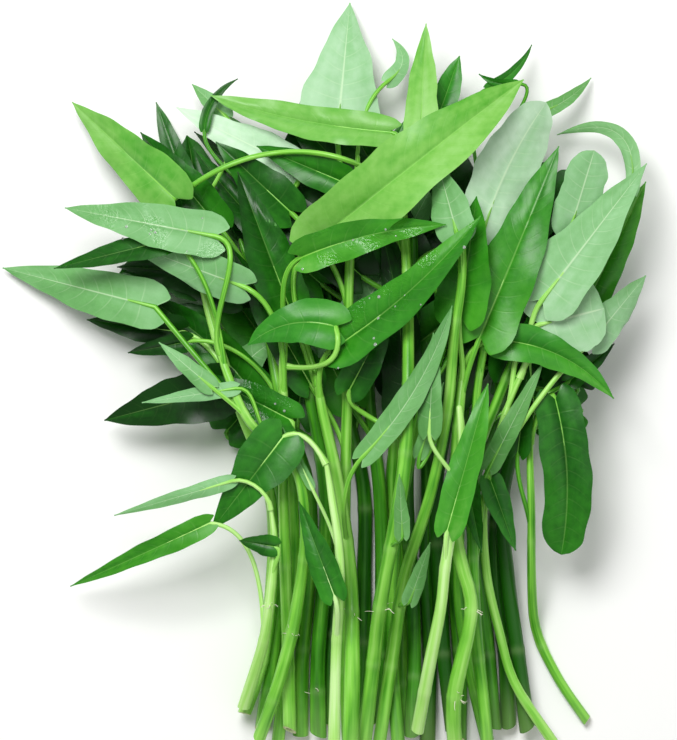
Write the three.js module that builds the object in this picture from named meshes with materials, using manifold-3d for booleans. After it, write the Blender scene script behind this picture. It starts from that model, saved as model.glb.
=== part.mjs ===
// A bunch of water spinach lying on a table: freshly cut leafy stems side by side, with their
// arrow-shaped leaves piled where the stems fan out. Millimetres, +Z up. +Y runs from the cut
// ends to the leaf tips, and Z = 0 is the table.
import * as THREE from 'three';
import { mergeVertices } from 'three/addons/utils/BufferGeometryUtils.js';
import Module from 'manifold-3d';

// Driving dimensions
const stemRadius = 3.3; // at the cut end of a middling stem
const stemTopShare = 0.55; // radius at the top of a stem, as a share of that at its foot
const stalkRadius = 1.35; // leaf stalk
const ribDepth = 1; // how far the midrib stands out of the blade's underside at its start
const bladeThickness = 0.7;
const lobeLength = 7; // how far a leaf's two rear lobes reach back past its stalk
const clearance = 0.35; // air between one leafy stem and the next
const planCentre = [-8, -3]; // middle of the whole bunch in the plan that the lists below use

// How closely the coarse shapes follow the curves
const stemStep = 42;
const stalkStep = 27;
const neckLength = 3; // last bit of the stalk, from which the blade spreads
const sampleStep = 2;

// How stiff things are: the tightest curve that each takes where it lies over what is below
const stemBend = 140;
const leafBend = 90;

// Blade outline from stalk to tip: share of the length, and share of the half width for a
// slender and for a full leaf. The lobes are swept back up to sweptShare.
const bladeStations = [
  { share: 0, slender: 0.66, full: 0.7 },
  { share: 0.12, slender: 1, full: 0.96 },
  { share: 0.38, slender: 0.8, full: 1 },
  { share: 0.68, slender: 0.45, full: 0.78 },
  { share: 1, slender: 0, full: 0 },
];
const sweptShare = 0.3;

// The table and all that lies on it so far, as the height of each cell of a grid
const cell = 2;
const gridHalf = 240;
const gridSide = (2 * gridHalf) / cell;

class Heap {
  constructor(height) {
    this.height = height || new Float64Array(gridSide * gridSide);
  }

  copy() {
    return new Heap(this.height.slice());
  }

  // The lowest height at which the middle of a round rod of this radius clears the heap
  clearOf(x, y, radius) {
    let lowest = 0;
    this.eachNear(x, y, radius + cell, (index, apart) => {
      const across = Math.max(0, apart - 0.75 * cell);
      const round = across < radius ? Math.sqrt(radius * radius - across * across) : 0;
      lowest = Math.max(lowest, this.height[index] + round);
    });
    return lowest;
  }

  raise(x, y, z, radius) {
    this.eachNear(x, y, radius + 0.5 * cell, (index, apart) => {
      const across = Math.max(0, apart - 0.5 * cell);
      const round = across < radius ? Math.sqrt(radius * radius - across * across) : 0;
      this.height[index] = Math.max(this.height[index], z + round);
    });
  }

  eachNear(x, y, reach, visit) {
    const column = Math.floor((x + gridHalf) / cell);
    const row = Math.floor((y + gridHalf) / cell);
    const steps = Math.ceil(reach / cell);
    for (let i = column - steps; i <= column + steps; i++) {
      for (let j = row - steps; j <= row + steps; j++) {
        const dx = (i + 0.5) * cell - gridHalf - x;
        const dy = (j + 0.5) * cell - gridHalf - y;
        const apart = Math.sqrt(dx * dx + dy * dy);
        if (apart <= reach) visit(j * gridSide + i, apart);
      }
    }
  }
}

// Small vector helpers in plan
const mix = (a, b, t) => a.map((value, i) => value + (b[i] - value) * t);
const distance = (a, b) => Math.sqrt((a[0] - b[0]) ** 2 + (a[1] - b[1]) ** 2);
const direction = (a, b) => mix([0, 0], [b[0] - a[0], b[1] - a[1]], 1 / distance(a, b));
const leftOf = (d) => [-d[1], d[0]];
const offset = (p, d, length) => [p[0] + d[0] * length, p[1] + d[1] * length];

// A smooth line through the listed points, as many short steps
function smoothPath(points) {
  const steps = 12;
  const line = [points[0]];
  for (let k = 0; k + 1 < points.length; k++) {
    const a = points[Math.max(0, k - 1)];
    const b = points[k];
    const c = points[k + 1];
    const d = points[Math.min(points.length - 1, k + 2)];
    for (let step = 1; step <= steps; step++) {
      const t = step / steps;
      const near = 0.5 * (-t + 2 * t * t - t * t * t);
      const from = 0.5 * (2 - 5 * t * t + 3 * t * t * t);
      const to = 0.5 * (t + 4 * t * t - 3 * t * t * t);
      const far = 0.5 * (t * t * t - t * t);
      line.push([0, 1].map((i) => near * a[i] + from * b[i] + to * c[i] + far * d[i]));
    }
  }
  return line;
}

// Where a line has gone this far, and which way it runs there
function along(line, length) {
  let left = length;
  for (let k = 0; k + 1 < line.length; k++) {
    const step = distance(line[k], line[k + 1]);
    if (left <= step || k + 2 === line.length) {
      return { at: mix(line[k], line[k + 1], left / step), way: direction(line[k], line[k + 1]) };
    }
    left -= step;
  }
}

const lengthOf = (line) =>
  line.slice(1).reduce((sum, point, k) => sum + distance(line[k], point), 0);

// How far along a stem it first reaches this y
function lengthAtY(line, y) {
  let length = 0;
  for (let k = 0; k + 1 < line.length; k++) {
    const step = distance(line[k], line[k + 1]);
    if (line[k][1] <= y && y < line[k + 1][1]) {
      return length + (step * (y - line[k][1])) / (line[k + 1][1] - line[k][1]);
    }
    length += step;
  }
  return length;
}

function bezier(points, t) {
  let left = points;
  while (left.length > 1) left = left.slice(1).map((point, k) => mix(left[k], point, t));
  return left[0];
}

// The z of each free station, so that every sample between stations clears what it needs to.
// A station bends away from its highest support no tighter than the given radius.
function settle(stations, samples, bend, pinned) {
  stations.forEach((station, k) => {
    if (k === 0 && pinned) return;
    station.z = -Infinity;
    for (const sample of samples) {
      const away = station.s - sample.s;
      station.z = Math.max(station.z, sample.need - (away * away) / (2 * bend));
    }
    station.z = Math.max(station.z, station.floor);
  });
  for (let pass = 0; pass < 3; pass++) {
    for (const { k, t, need } of samples) {
      const short = need - (stations[k].z * (1 - t) + stations[k + 1].z * t);
      if (short <= 0) continue;
      if (k > 0 || !pinned) stations[k].z += short;
      stations[k + 1].z += k === 0 && pinned ? short / Math.max(t, 0.25) : short;
    }
  }
}

// Points every few millimetres along a rod's stations, with the height that each needs
function rodSamples(stations, firstStation, lastStation, heap) {
  const samples = [];
  for (let k = firstStation; k < lastStation; k++) {
    const a = stations[k];
    const b = stations[k + 1];
    const count = Math.ceil((b.s - a.s) / sampleStep);
    for (let i = 0; i <= count; i++) {
      const t = i / count;
      const [x, y] = mix(a.at, b.at, t);
      const radius = a.radius + (b.radius - a.radius) * t;
      const need = heap.clearOf(x, y, radius) + clearance;
      samples.push({ k, t, s: a.s + (b.s - a.s) * t, x, y, radius, need });
    }
  }
  return samples;
}

const restHeight = (radius) => radius * Math.sin(Math.PI / 3); // a six-sided stem lies on a flat

// A stem follows its listed path in plan and lies on whatever is already there. Where a leaf
// stalk leaves it, it also clears what is close beside it.
function layStem(shoot, heap) {
  const line = smoothPath(shoot.path);
  const total = lengthOf(line);
  const spans = Math.round(total / stemStep);
  const footRadius = shoot.radius || stemRadius;
  const radiusAt = (s) => footRadius * (1 - (1 - stemTopShare) * (s / total) ** 1.5);
  const stations = [];
  for (let k = 0; k <= spans; k++) {
    const s = (total * k) / spans;
    const radius = radiusAt(s);
    stations.push({ s, ...along(line, s), radius, floor: restHeight(radius) });
  }
  const samples = rodSamples(stations, 0, spans, heap);
  const nodes = shoot.leaves.map((leaf) => lengthAtY(line, leaf.from));
  const besideStalk = 6;
  for (const sample of samples) {
    sample.need = Math.max(sample.need, 0);
    if (nodes.some((s) => Math.abs(s - sample.s) < besideStalk)) {
      sample.need = Math.max(sample.need, heap.clearOf(sample.x, sample.y, besideStalk) - 2);
    }
    if (sample.need <= sample.radius + clearance) sample.need = 0; // lies on the bare table
  }
  settle(stations, samples, stemBend, false);
  return { line, stations, total, nodes };
}

// Height of a stem at a length along it
function stemAt(stem, s) {
  const k = Math.min(
    stem.stations.length - 2,
    Math.floor((s / stem.total) * (stem.stations.length - 1)),
  );
  const a = stem.stations[k];
  const b = stem.stations[k + 1];
  const t = (s - a.s) / (b.s - a.s);
  return { at: mix(a.at, b.at, t), z: a.z + (b.z - a.z) * t, way: direction(a.at, b.at) };
}

// A leaf's stations in plan: its stalk from the stem to the blade, then the blade
function leafStations(leaf, node) {
  const span = distance(node.at, leaf.base);
  const middle = mix(leaf.base, leaf.tip, 0.5);
  const bladeWay = direction(leaf.base, leaf.tip);
  const ribControl = offset(middle, leftOf(bladeWay), 2 * (leaf.bow || 0));
  const rib = [leaf.base, ribControl, leaf.tip];
  const startWay = direction(leaf.base, ribControl);
  const stalk = leaf.via
    ? [node.at, leaf.via, leaf.base]
    : [
        node.at,
        offset(node.at, node.way, 0.35 * span),
        offset(leaf.base, startWay, -0.35 * span),
        leaf.base,
      ];
  const stations = [];
  const stalkLength = lengthOf(Array.from({ length: 9 }, (_, k) => bezier(stalk, k / 8)));
  const stalkSpans = Math.max(1, Math.min(4, Math.round(stalkLength / stalkStep)));
  const neckShare = 1 - neckLength / Math.max(stalkLength, 2 * neckLength);
  for (let k = 0; k <= stalkSpans; k++) {
    const at = bezier(stalk, (neckShare * k) / stalkSpans);
    stations.push({ at, radius: stalkRadius, floor: stalkRadius });
  }
  const neck = stations[stalkSpans];
  const neckWay = leftOf(direction(neck.at, leaf.base));
  neck.half = stalkRadius;
  neck.left = offset(neck.at, neckWay, stalkRadius);
  neck.right = offset(neck.at, neckWay, -stalkRadius);
  const fullness = leaf.full === undefined ? 0.35 : leaf.full;
  const length = distance(leaf.base, leaf.tip);
  for (const { share, slender, full } of bladeStations) {
    const at = bezier(rib, share);
    const way = direction(bezier(rib, share - 0.01), bezier(rib, share + 0.01));
    const blunt = share === 1 ? leaf.blunt || 0 : 0;
    const half = 0.5 * leaf.wide * (slender + (full - slender) * fullness + blunt);
    const lobe = Math.min(lobeLength, 0.35 * leaf.wide, 0.2 * length);
    const swept = lobe * Math.max(0, 1 - share / sweptShare) ** 2;
    const back = offset(at, way, -swept);
    stations.push({
      at,
      rib: ribDepth * (1 - share),
      half,
      left: offset(back, leftOf(way), half),
      right: offset(back, leftOf(way), -half),
      floor: bladeThickness,
    });
  }
  let s = 0;
  stations.forEach((station, k) => {
    if (k > 0) s += distance(stations[k - 1].at, station.at);
    station.s = s;
  });
  return { stations, stalkSpans };
}

// How much the heap rises from the right to the left of a blade, as a slope
function slopeUnder(blade, heap) {
  let rise = 0;
  let run = 0;
  for (const { at, left, right, half } of blade) {
    const reach = 0.7;
    const high = mix(at, left, reach);
    const low = mix(at, right, reach);
    rise += heap.clearOf(high[0], high[1], 0) - heap.clearOf(low[0], low[1], 0);
    run += 2 * reach * half;
  }
  return Math.max(-0.45, Math.min(0.45, (0.6 * rise) / run));
}

// Points all over a blade. rise is how far each stands above the midrib, and rib how far the
// midrib makes it stick out.
function bladeSamples(stations, neck, ribBelow, heap) {
  const samples = [];
  for (let k = neck; k + 1 < stations.length; k++) {
    const a = stations[k];
    const b = stations[k + 1];
    const count = Math.ceil((b.s - a.s) / sampleStep);
    const acrossCount = Math.ceil(Math.max(a.half, b.half) / sampleStep);
    for (let i = 0; i <= count; i++) {
      const t = i / count;
      for (let j = -acrossCount; j <= acrossCount; j++) {
        const q = Math.abs(j) / acrossCount;
        const side = j < 0 ? 'right' : 'left';
        const [x, y] = mix(mix(a.at, a[side], q), mix(b.at, b[side], q), t);
        const rise = q * (a.rise[side] + (b.rise[side] - a.rise[side]) * t);
        const rib = (1 - q) * b.rib + bladeThickness / 2;
        const below = ribBelow ? rib : bladeThickness / 2;
        const above = ribBelow ? bladeThickness / 2 : rib;
        const need = heap.clearOf(x, y, 0) + below + clearance - rise;
        samples.push({ k, t, s: a.s + (b.s - a.s) * t, x, y, rise, above, need });
      }
    }
  }
  return samples;
}

// A leaf lies on the heap. Its blade leans as the heap below it does, and by its own roll and fold.
function layLeaf(leaf, stem, s, under, heap) {
  const node = stemAt(stem, s);
  const { stations, stalkSpans } = leafStations(leaf, node);
  stations[0].z = node.z;
  const blade = stations.slice(stalkSpans + 1);
  const roll = slopeUnder(blade, heap) + (leaf.roll || 0);
  const fold = leaf.fold === undefined ? 0.12 : leaf.fold;
  stations[stalkSpans].rise = { left: 0, right: 0 };
  for (const station of blade) {
    station.rise = { left: (fold + roll) * station.half, right: (fold - roll) * station.half };
  }
  const rootZone = 5;
  const samples = [
    ...rodSamples(stations, 0, stalkSpans, under).filter((sample) => sample.s > rootZone),
    ...bladeSamples(stations, stalkSpans, leaf.side === 'upper', heap),
  ];
  settle(stations, samples, leaf.bend || leafBend, true);
  blade.forEach((station, k) => {
    station.z += (leaf.lift || 0) * bladeStations[k].share ** 2;
  });
  for (const { k, t, x, y, rise, above, radius } of samples) {
    const z = stations[k].z * (1 - t) + stations[k + 1].z * t;
    if (radius) heap.raise(x, y, z, radius);
    else heap.raise(x, y, z + rise + above, 0);
  }
  return { stations, stalkSpans, leaf };
}

// Meshes

// A closed mesh through rings of six points each, from upper left over the top to the right and
// back below. Its diagonals run from a blade's edges forward to its midrib, on both faces.
function loft(rings) {
  const sides = 6;
  const index = [];
  const corner = (k, i) => k * sides + (i % sides);
  for (let k = 0; k + 1 < rings.length; k++) {
    for (let i = 0; i < sides; i++) {
      const [a, b, c, d] = [corner(k, i), corner(k, i + 1), corner(k + 1, i + 1), corner(k + 1, i)];
      index.push(...(i % 3 === 1 ? [a, b, d, b, c, d] : [a, b, c, a, c, d]));
    }
  }
  const last = rings.length - 1;
  for (const [a, b, c, d] of [
    [0, 5, 4, 1],
    [1, 4, 3, 2],
  ]) {
    index.push(a, b, c, a, c, d);
    index.push(...[a, d, c, a, c, b].map((n) => corner(last, n)));
  }
  const geometry = new THREE.BufferGeometry();
  geometry.setAttribute('position', new THREE.Float32BufferAttribute(rings.flat(2), 3));
  geometry.setIndex(index);
  const merged = mergeVertices(geometry, 1e-4);
  const kept = [];
  for (let i = 0; i < merged.index.count; i += 3) {
    const [p, q, r] = [0, 1, 2].map((n) => merged.index.getX(i + n));
    if (p !== q && q !== r && r !== p) kept.push(p, q, r);
  }
  merged.setIndex(kept);
  return merged;
}

// The ring of a rod at one of its stations
function rodRing(stations, k, firstAngle) {
  const before = stations[Math.max(0, k - 1)];
  const after = stations[Math.min(stations.length - 1, k + 1)];
  const way = new THREE.Vector3(
    after.at[0] - before.at[0],
    after.at[1] - before.at[1],
    after.z - before.z,
  ).normalize();
  const left = new THREE.Vector3(-way.y, way.x, 0).normalize();
  const up = way.clone().cross(left);
  const { at, z, radius } = stations[k];
  const ring = [];
  for (let i = 0; i < 6; i++) {
    const angle = firstAngle + (Math.PI * i) / 3;
    const point = new THREE.Vector3(at[0], at[1], z)
      .addScaledVector(left, radius * Math.cos(angle))
      .addScaledVector(up, radius * Math.sin(angle));
    ring.push(point.toArray());
  }
  return ring;
}

// The ring of a blade at one of its stations, with the midrib on its underside
function bladeRing(stations, k, ribBelow) {
  const { at, z, half, left, right, rise, rib } = stations[k];
  const before = stations[k - 1];
  const after = stations[Math.min(stations.length - 1, k + 1)];
  const climb = (after.z - before.z) / (after.s - before.s);
  const lean = half > 0 ? Math.max(Math.abs(rise.left), Math.abs(rise.right)) / half : 0;
  const thick = 0.5 * bladeThickness * Math.sqrt(1 + climb * climb + lean * lean);
  return [
    [...left, z + rise.left + thick],
    [...at, z + thick + (ribBelow ? 0 : rib)],
    [...right, z + rise.right + thick],
    [...right, z + rise.right - thick],
    [...at, z - thick - (ribBelow ? rib : 0)],
    [...left, z + rise.left - thick],
  ];
}

const stemGeometry = ({ stations }) => loft(stations.map((_, k) => rodRing(stations, k, 0)));

const leafGeometry = ({ stations, stalkSpans, leaf }) =>
  loft(
    stations.map((_, k) =>
      k <= stalkSpans
        ? rodRing(stations, k, Math.PI / 6)
        : bladeRing(stations, k, leaf.side === 'upper'),
    ),
  );

// The leafy stems at the back of the bunch, by rule: their feet fill the gaps between those in
// front, and their leaves fan out to alternate sides within an oval crown.
const backFeet = [-33, -18, -10, 12, 22, 32, 38, 46, 53, 61, 75, 84, -4, 90];
const backOrder = [5, 0, 9, 12, 3, 11, 1, 7, 13, 4, 2, 8, 10, 6];
const bundleMiddle = 24;
const crown = { middle: [10, 56], across: 120, along: 88 };

// Repeatable random numbers from 0 to 1
let seed = 20607;
function random() {
  seed = (seed * 16807) % 2147483647;
  return seed / 2147483647;
}
const between = (low, high) => low + (high - low) * random();

// Shortens a blade until its tip is inside the crown, or turns it in
function tipInCrown(base, way, length) {
  const shortest = 30;
  for (let reach = length; reach > shortest; reach -= 5) {
    const tip = offset(base, way, reach);
    const x = (tip[0] - crown.middle[0]) / crown.across;
    const y = (tip[1] - crown.middle[1]) / crown.along;
    if (x * x + y * y < 1) return tip;
  }
  return offset(base, direction(base, crown.middle), shortest);
}

function backShoot(foot, place) {
  const share = (foot - bundleMiddle) / 60;
  const path = [
    [bundleMiddle + 63 * share + between(-3, 3), between(-188, -176)],
    [foot, -145],
    [bundleMiddle + 55 * share, -105],
    [bundleMiddle - 2 + 55 * share + between(-3, 3), -60],
    [bundleMiddle - 5 + 66 * share + between(-5, 5), -15],
    [bundleMiddle - 9 + 80 * share + between(-6, 6), 30],
    [bundleMiddle - 12 + 92 * share + between(-6, 6), between(62, 84)],
  ];
  const line = smoothPath(path);
  const leaves = [-44, -6, 26, 54].map((height, k) => {
    const side = (k + place) % 2 ? 1 : -1;
    const from = height + between(-9, 9);
    const node = along(line, lengthAtY(line, from));
    const angle = 0.75 * share + side * (k === 0 ? between(0.1, 0.5) : between(0.35, 1.15));
    const way = [Math.sin(angle), Math.cos(angle)];
    const base = offset(node.at, way, between(24, 42));
    return {
      from,
      base,
      tip: tipInCrown(base, way, between(80, 115)),
      wide: between(21, 30),
      side: random() < 0.25 ? 'under' : 'upper',
      bow: between(-6, 6),
      full: between(0.2, 0.9),
    };
  });
  return { path, leaves, radius: between(3.5, 4.2) };
}

// The leafy stems that show, from the lowest in the heap to the highest, with every stem and
// leaf where it lies in plan. from is the y at which a leaf stalk leaves its stem.
const frontShoots = [
  {
    path: [[-47, -172], [-38, -145], [-33, -105], [-34, -60], [-50, -15], [-64, 30], [-72, 72]],
    leaves: [
      { from: -12, base: [-79, 19], tip: [-125, 25], wide: 17, side: 'upper' },
      { from: 42, base: [-75, 89], tip: [-91, 134], wide: 14, side: 'upper' },
      { from: 62, base: [-56, 126], tip: [-72.5, 142], wide: 10, side: 'under' },
    ],
  },
  {
    path: [[-30, -186], [-25, -140], [-22, -95], [-24, -45], [-32, 5], [-40, 55], [-44, 96]],
    leaves: [
      { from: -58, base: [-55, -9], tip: [-116, -25], wide: 28, side: 'upper' },
      { from: -22, base: [-74, 14], tip: [-104, 8.5], wide: 11, side: 'upper' },
      { from: 20, base: [-60, 72], tip: [-98, 118], wide: 22, side: 'upper' },
      { from: 60, base: [-22, 100], tip: [-80, 130], wide: 21, side: 'under' },
      { from: 80, base: [-66, 119], tip: [-49.5, 144], wide: 6, side: 'upper', bow: 4 },
    ],
  },
  {
    path: [[5, -190], [4, -140], [3, -90], [4, -40], [5, 10], [6, 60], [10, 104]],
    leaves: [
      { from: -48, base: [-14, -6], tip: [-52, 60], wide: 20, side: 'upper' },
      { from: 20, base: [-24, 78], tip: [-60, 112], wide: 22, side: 'upper' },
      { from: 64, base: [0, 119], tip: [6, 183.5], wide: 40, side: 'under', full: 0.1 },
      { from: 84, base: [25, 143], tip: [27, 165], wide: 9, side: 'under', bow: -6 },
    ],
  },
  {
    path: [[30, -188], [27, -140], [28, -90], [36, -40], [50, 10], [62, 60], [72, 104]],
    leaves: [
      { from: -20, base: [66, 30], tip: [84, 110], wide: 24, side: 'upper' },
      { from: 52, base: [47, 118], tip: [60, 155], wide: 16, side: 'upper', full: 0.6 },
      { from: 70, base: [100, 127], tip: [126.5, 146], wide: 8, side: 'under', bow: -2 },
      { from: 84, base: [74, 139], tip: [96.5, 162], wide: 6, side: 'upper', bow: -3 },
      { from: 92, base: [88, 141], tip: [69.5, 146], wide: 5, side: 'upper', bow: 2 },
    ],
  },
  {
    path: [[75, -187], [66, -150], [60, -110], [62, -60], [80, -10], [100, 40], [112, 78]],
    leaves: [
      { from: -32, base: [114, -5], tip: [136, 13], wide: 11, side: 'upper' },
      { from: -4, base: [124, 36], tip: [152, 93], wide: 20, side: 'upper' },
      { from: 30, base: [113.5, 70], tip: [125, 107], wide: 22, side: 'under', full: 1, blunt: 0.4 },
      { from: 46, base: [145, 88], tip: [109, 117], wide: 8, side: 'under', full: 1, bow: -18 },
    ],
  },
  {
    path: [[125, -176], [110, -154], [99, -130], [96, -105], [95, -70], [94, -40], [95, -12]],
    radius: 2.6,
    leaves: [
      { from: -84, base: [88, -40], tip: [93, 2], wide: 12, side: 'upper' },
      {
        from: -36,
        base: [106, -14],
        tip: [110, -91],
        wide: 24,
        side: 'upper',
        full: 1,
        blunt: 0.55,
        bow: 4,
      },
      { from: -22, base: [97, 16], tip: [126, 60], wide: 20, side: 'upper' },
    ],
  },
  {
    path: [[107, -185], [88, -156], [80, -130], [73, -98], [72, -60], [82, -20], [96, 12]],
    radius: 2.5,
    leaves: [
      { from: -52, base: [125, 15], tip: [151.5, 46.5], wide: 18, side: 'under', via: [100, -5] },
      { from: -22, base: [98, 22], tip: [130, 30], wide: 36, side: 'under', full: 1, blunt: 0.5 },
      { from: -4, base: [99, 34], tip: [151, 101], wide: 33, side: 'under', full: 0.1 },
    ],
  },
  {
    path: [[74, -187], [72, -165], [68, -130], [66, -95], [66, -55], [68, -10], [74, 24]],
    leaves: [
      { from: -106, base: [74.5, -54], tip: [87, -88.5], wide: 13, side: 'upper', via: [73, -35] },
      { from: -92, base: [62, -52], tip: [70, -89], wide: 11, side: 'upper', via: [58, -38] },
      { from: -74, base: [74, -47], tip: [100, 4], wide: 11, side: 'under' },
      {
        from: -2,
        base: [70, 66],
        tip: [102, 131],
        wide: 30,
        side: 'under',
        full: 1,
        blunt: 0.3,
        bow: 3,
      },
    ],
  },
  {
    path: [[58, -188], [57, -160], [65, -118], [60, -94], [57, -75], [58, -30], [62, 8]],
    radius: 3.9,
    leaves: [
      { from: -44, base: [77, 14.5], tip: [134.5, -14], wide: 19, side: 'upper', bow: 7 },
      { from: -28, base: [69, 16], tip: [107.5, 109], wide: 32, side: 'upper' },
      { from: -6, base: [59, 26], tip: [67, 84], wide: 26, side: 'upper' },
    ],
  },
  {
    path: [[20, -188], [27, -140], [33, -100], [45, -60], [53, -20], [56, 15], [60, 50], [56, 88]],
    leaves: [
      { from: -116, base: [35, -113], tip: [45, -84], wide: 9, side: 'under' },
      { from: -22, base: [39.5, -41], tip: [51, -6], wide: 8, side: 'under', via: [36, -60] },
      { from: 24, base: [57, 67], tip: [48, 100], wide: 20, side: 'under' },
      { from: 60, base: [40, 115], tip: [43.5, 171], wide: 17, side: 'upper' },
    ],
  },
  {
    path: [[12, -188], [15, -165], [21, -112], [27, -78], [32, -45], [34, 0], [33, 60], [27, 112]],
    radius: 3.8,
    leaves: [
      { from: -86, base: [31, -80], tip: [29.5, -50], wide: 8, side: 'under' },
      { from: -40, base: [6, -9], tip: [29, 35], wide: 18, side: 'upper' },
      { from: 48, base: [2, 92], tip: [-40, 110], wide: 18, side: 'upper' },
      { from: 84, base: [25, 116], tip: [-63, 135.5], wide: 18, side: 'upper', full: 0.8, bow: 3 },
      { from: 90, base: [-80, 84], tip: [-132.5, 133.5], wide: 26, side: 'upper', via: [-28, 126] },
    ],
  },
  {
    path: [[39, -178], [45, -142], [50, -115], [52, -95], [56, -70], [60, -40], [58, -12]],
    leaves: [
      { from: -96, base: [53, -77], tip: [72.5, -6.5], wide: 16, side: 'upper', full: 0.7 },
      { from: -60, base: [44, -30], tip: [46, 18], wide: 12, side: 'under' },
    ],
  },
  {
    path: [[6, -188], [7, -140], [6, -100], [0, -55], [-8, -18], [-10, -4]],
    radius: 4.1,
    leaves: [
      { from: -84, base: [12, -42], tip: [55, 31], wide: 13, side: 'under', bow: -5, full: 0.8 },
      { from: -46, base: [-24, 31], tip: [-49, 97], wide: 25, side: 'upper' },
      { from: -14, base: [-3, 10], tip: [68.5, 74], wide: 24, side: 'upper', bow: -4 },
      { from: -8, base: [-13.5, 60.5], tip: [90.5, 141.5], wide: 33, side: 'upper', full: 1 },
    ],
  },
  {
    path: [[-24, -181], [-25, -135], [-26, -95], [-27, -55], [-26, -35], [-27, 0], [-25, 22]],
    leaves: [
      { from: -42, base: [-24, -24], tip: [-66, -2], wide: 20, side: 'upper' },
      { from: -12, base: [-47, 41], tip: [-103, 62], wide: 20, side: 'under' },
      { from: 2, base: [-1, 21], tip: [-44, 12], wide: 24, side: 'upper', bow: -6, via: [5, -3] },
      { from: 8, base: [-17, 55], tip: [52, 70], wide: 19, side: 'upper', bow: 3 },
    ],
  },
  {
    path: [[-40, -185], [-28, -150], [-20, -115], [-16, -75], [-22, -45], [-44, -24], [-60, 14]],
    leaves: [
      { from: -36, base: [-50, -9], tip: [-96, -16], wide: 8, side: 'under' },
      { from: -26, base: [-62, -8], tip: [-87.5, 13.5], wide: 10, side: 'under' },
      { from: -22, base: [-90, 31], tip: [-167.5, 51], wide: 26, side: 'under', via: [-66, 2] },
      { from: 2, base: [-80, 64], tip: [-140, 50], wide: 14, side: 'upper', via: [-60, 45] },
      { from: 8, base: [-60, 65], tip: [-134, 79.5], wide: 24, side: 'under' },
    ],
  },
  {
    path: [[-2, -188], [-1, -140], [1, -95], [-3, -62], [-6, -44]],
    radius: 3,
    leaves: [
      { from: -132, base: [-2, -109], tip: [-19, -64], wide: 15, side: 'upper' },
      { from: -100, base: [-13, -57], tip: [-27, -28], wide: 5, side: 'under' },
      {
        from: -46,
        base: [-27, -33],
        tip: [-62.5, -79],
        wide: 28,
        side: 'upper',
        full: 0.1,
        via: [-16, -26],
      },
    ],
  },
  {
    path: [[-47, -168], [-37, -135], [-33, -110], [-31, -85], [-33, -66]],
    radius: 3,
    leaves: [
      { from: -133, base: [-63, -75], tip: [-133, -107.5], wide: 12, side: 'upper', via: [-36, -76] },
      { from: -104, base: [-31, -86], tip: [-48, -83], wide: 11, side: 'upper' },
      { from: -68, base: [-51.5, -54], tip: [-110, -71.5], wide: 8, side: 'under' },
    ],
  },
];

// Lays the bunch, one leafy stem on another
const backShoots = backFeet.map(backShoot);
const shoots = [...backOrder.map((place) => backShoots[place]), ...frontShoots];
const heap = new Heap();
const laid = shoots.map((shoot) => {
  const under = heap.copy();
  const stem = layStem(shoot, heap);
  for (const { x, y, k, t, radius } of rodSamples(stem.stations, 0, stem.stations.length - 1, under)) {
    heap.raise(x, y, stem.stations[k].z * (1 - t) + stem.stations[k + 1].z * t, radius);
  }
  const leaves = shoot.leaves.map((leaf, k) => layLeaf(leaf, stem, stem.nodes[k], under, heap));
  return { stem, leaves };
});

const wasm = await Module();
wasm.setup();

function solidOf(geometry) {
  return new wasm.Manifold(
    new wasm.Mesh({
      numProp: 3,
      vertProperties: geometry.attributes.position.array,
      triVerts: new Uint32Array(geometry.index.array),
    }),
  );
}

// A stem, its leaf stalks and its blades grew as one piece, so they are fused
function fuse(pieces) {
  const joined = pieces.map(solidOf).reduce((whole, piece) => whole.add(piece));
  const mesh = joined.getMesh();
  const geometry = new THREE.BufferGeometry();
  geometry.setAttribute('position', new THREE.BufferAttribute(mesh.vertProperties, 3));
  geometry.setIndex(new THREE.BufferAttribute(mesh.triVerts, 1));
  geometry.computeVertexNormals();
  return geometry;
}

const leafGreen = new THREE.Color(0x4f9a35);

const bunch = new THREE.Group();
bunch.position.set(-planCentre[0], -planCentre[1], 0);
laid.forEach(({ stem, leaves }, k) => {
  const geometry = fuse([stemGeometry(stem), ...leaves.map(leafGeometry)]);
  const skin = new THREE.MeshStandardMaterial({ color: leafGreen, roughness: 0.45, metalness: 0 });
  const mesh = new THREE.Mesh(geometry, skin);
  mesh.name = `leafy_stem_${String(k + 1).padStart(2, '0')}`;
  bunch.add(mesh);
});

export default bunch;
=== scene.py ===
import math
import random
from functools import partial

import bpy
import numpy as np
from mathutils import Matrix, Vector


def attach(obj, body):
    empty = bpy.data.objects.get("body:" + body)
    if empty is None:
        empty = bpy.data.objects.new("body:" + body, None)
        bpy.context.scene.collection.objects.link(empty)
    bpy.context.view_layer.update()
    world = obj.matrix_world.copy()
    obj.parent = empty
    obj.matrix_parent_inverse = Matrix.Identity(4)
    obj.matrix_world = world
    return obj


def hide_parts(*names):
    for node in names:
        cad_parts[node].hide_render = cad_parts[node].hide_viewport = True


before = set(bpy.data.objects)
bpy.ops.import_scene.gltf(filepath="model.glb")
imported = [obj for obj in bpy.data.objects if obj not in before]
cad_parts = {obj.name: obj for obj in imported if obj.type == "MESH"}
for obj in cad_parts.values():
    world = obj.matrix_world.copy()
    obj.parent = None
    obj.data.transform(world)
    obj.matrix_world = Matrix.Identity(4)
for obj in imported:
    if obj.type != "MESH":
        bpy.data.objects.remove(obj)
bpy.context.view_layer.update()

mm = 0.001

# The plan of the bunch, in millimetres on the table: +Y from the cut ends to the leaf tips

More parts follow.
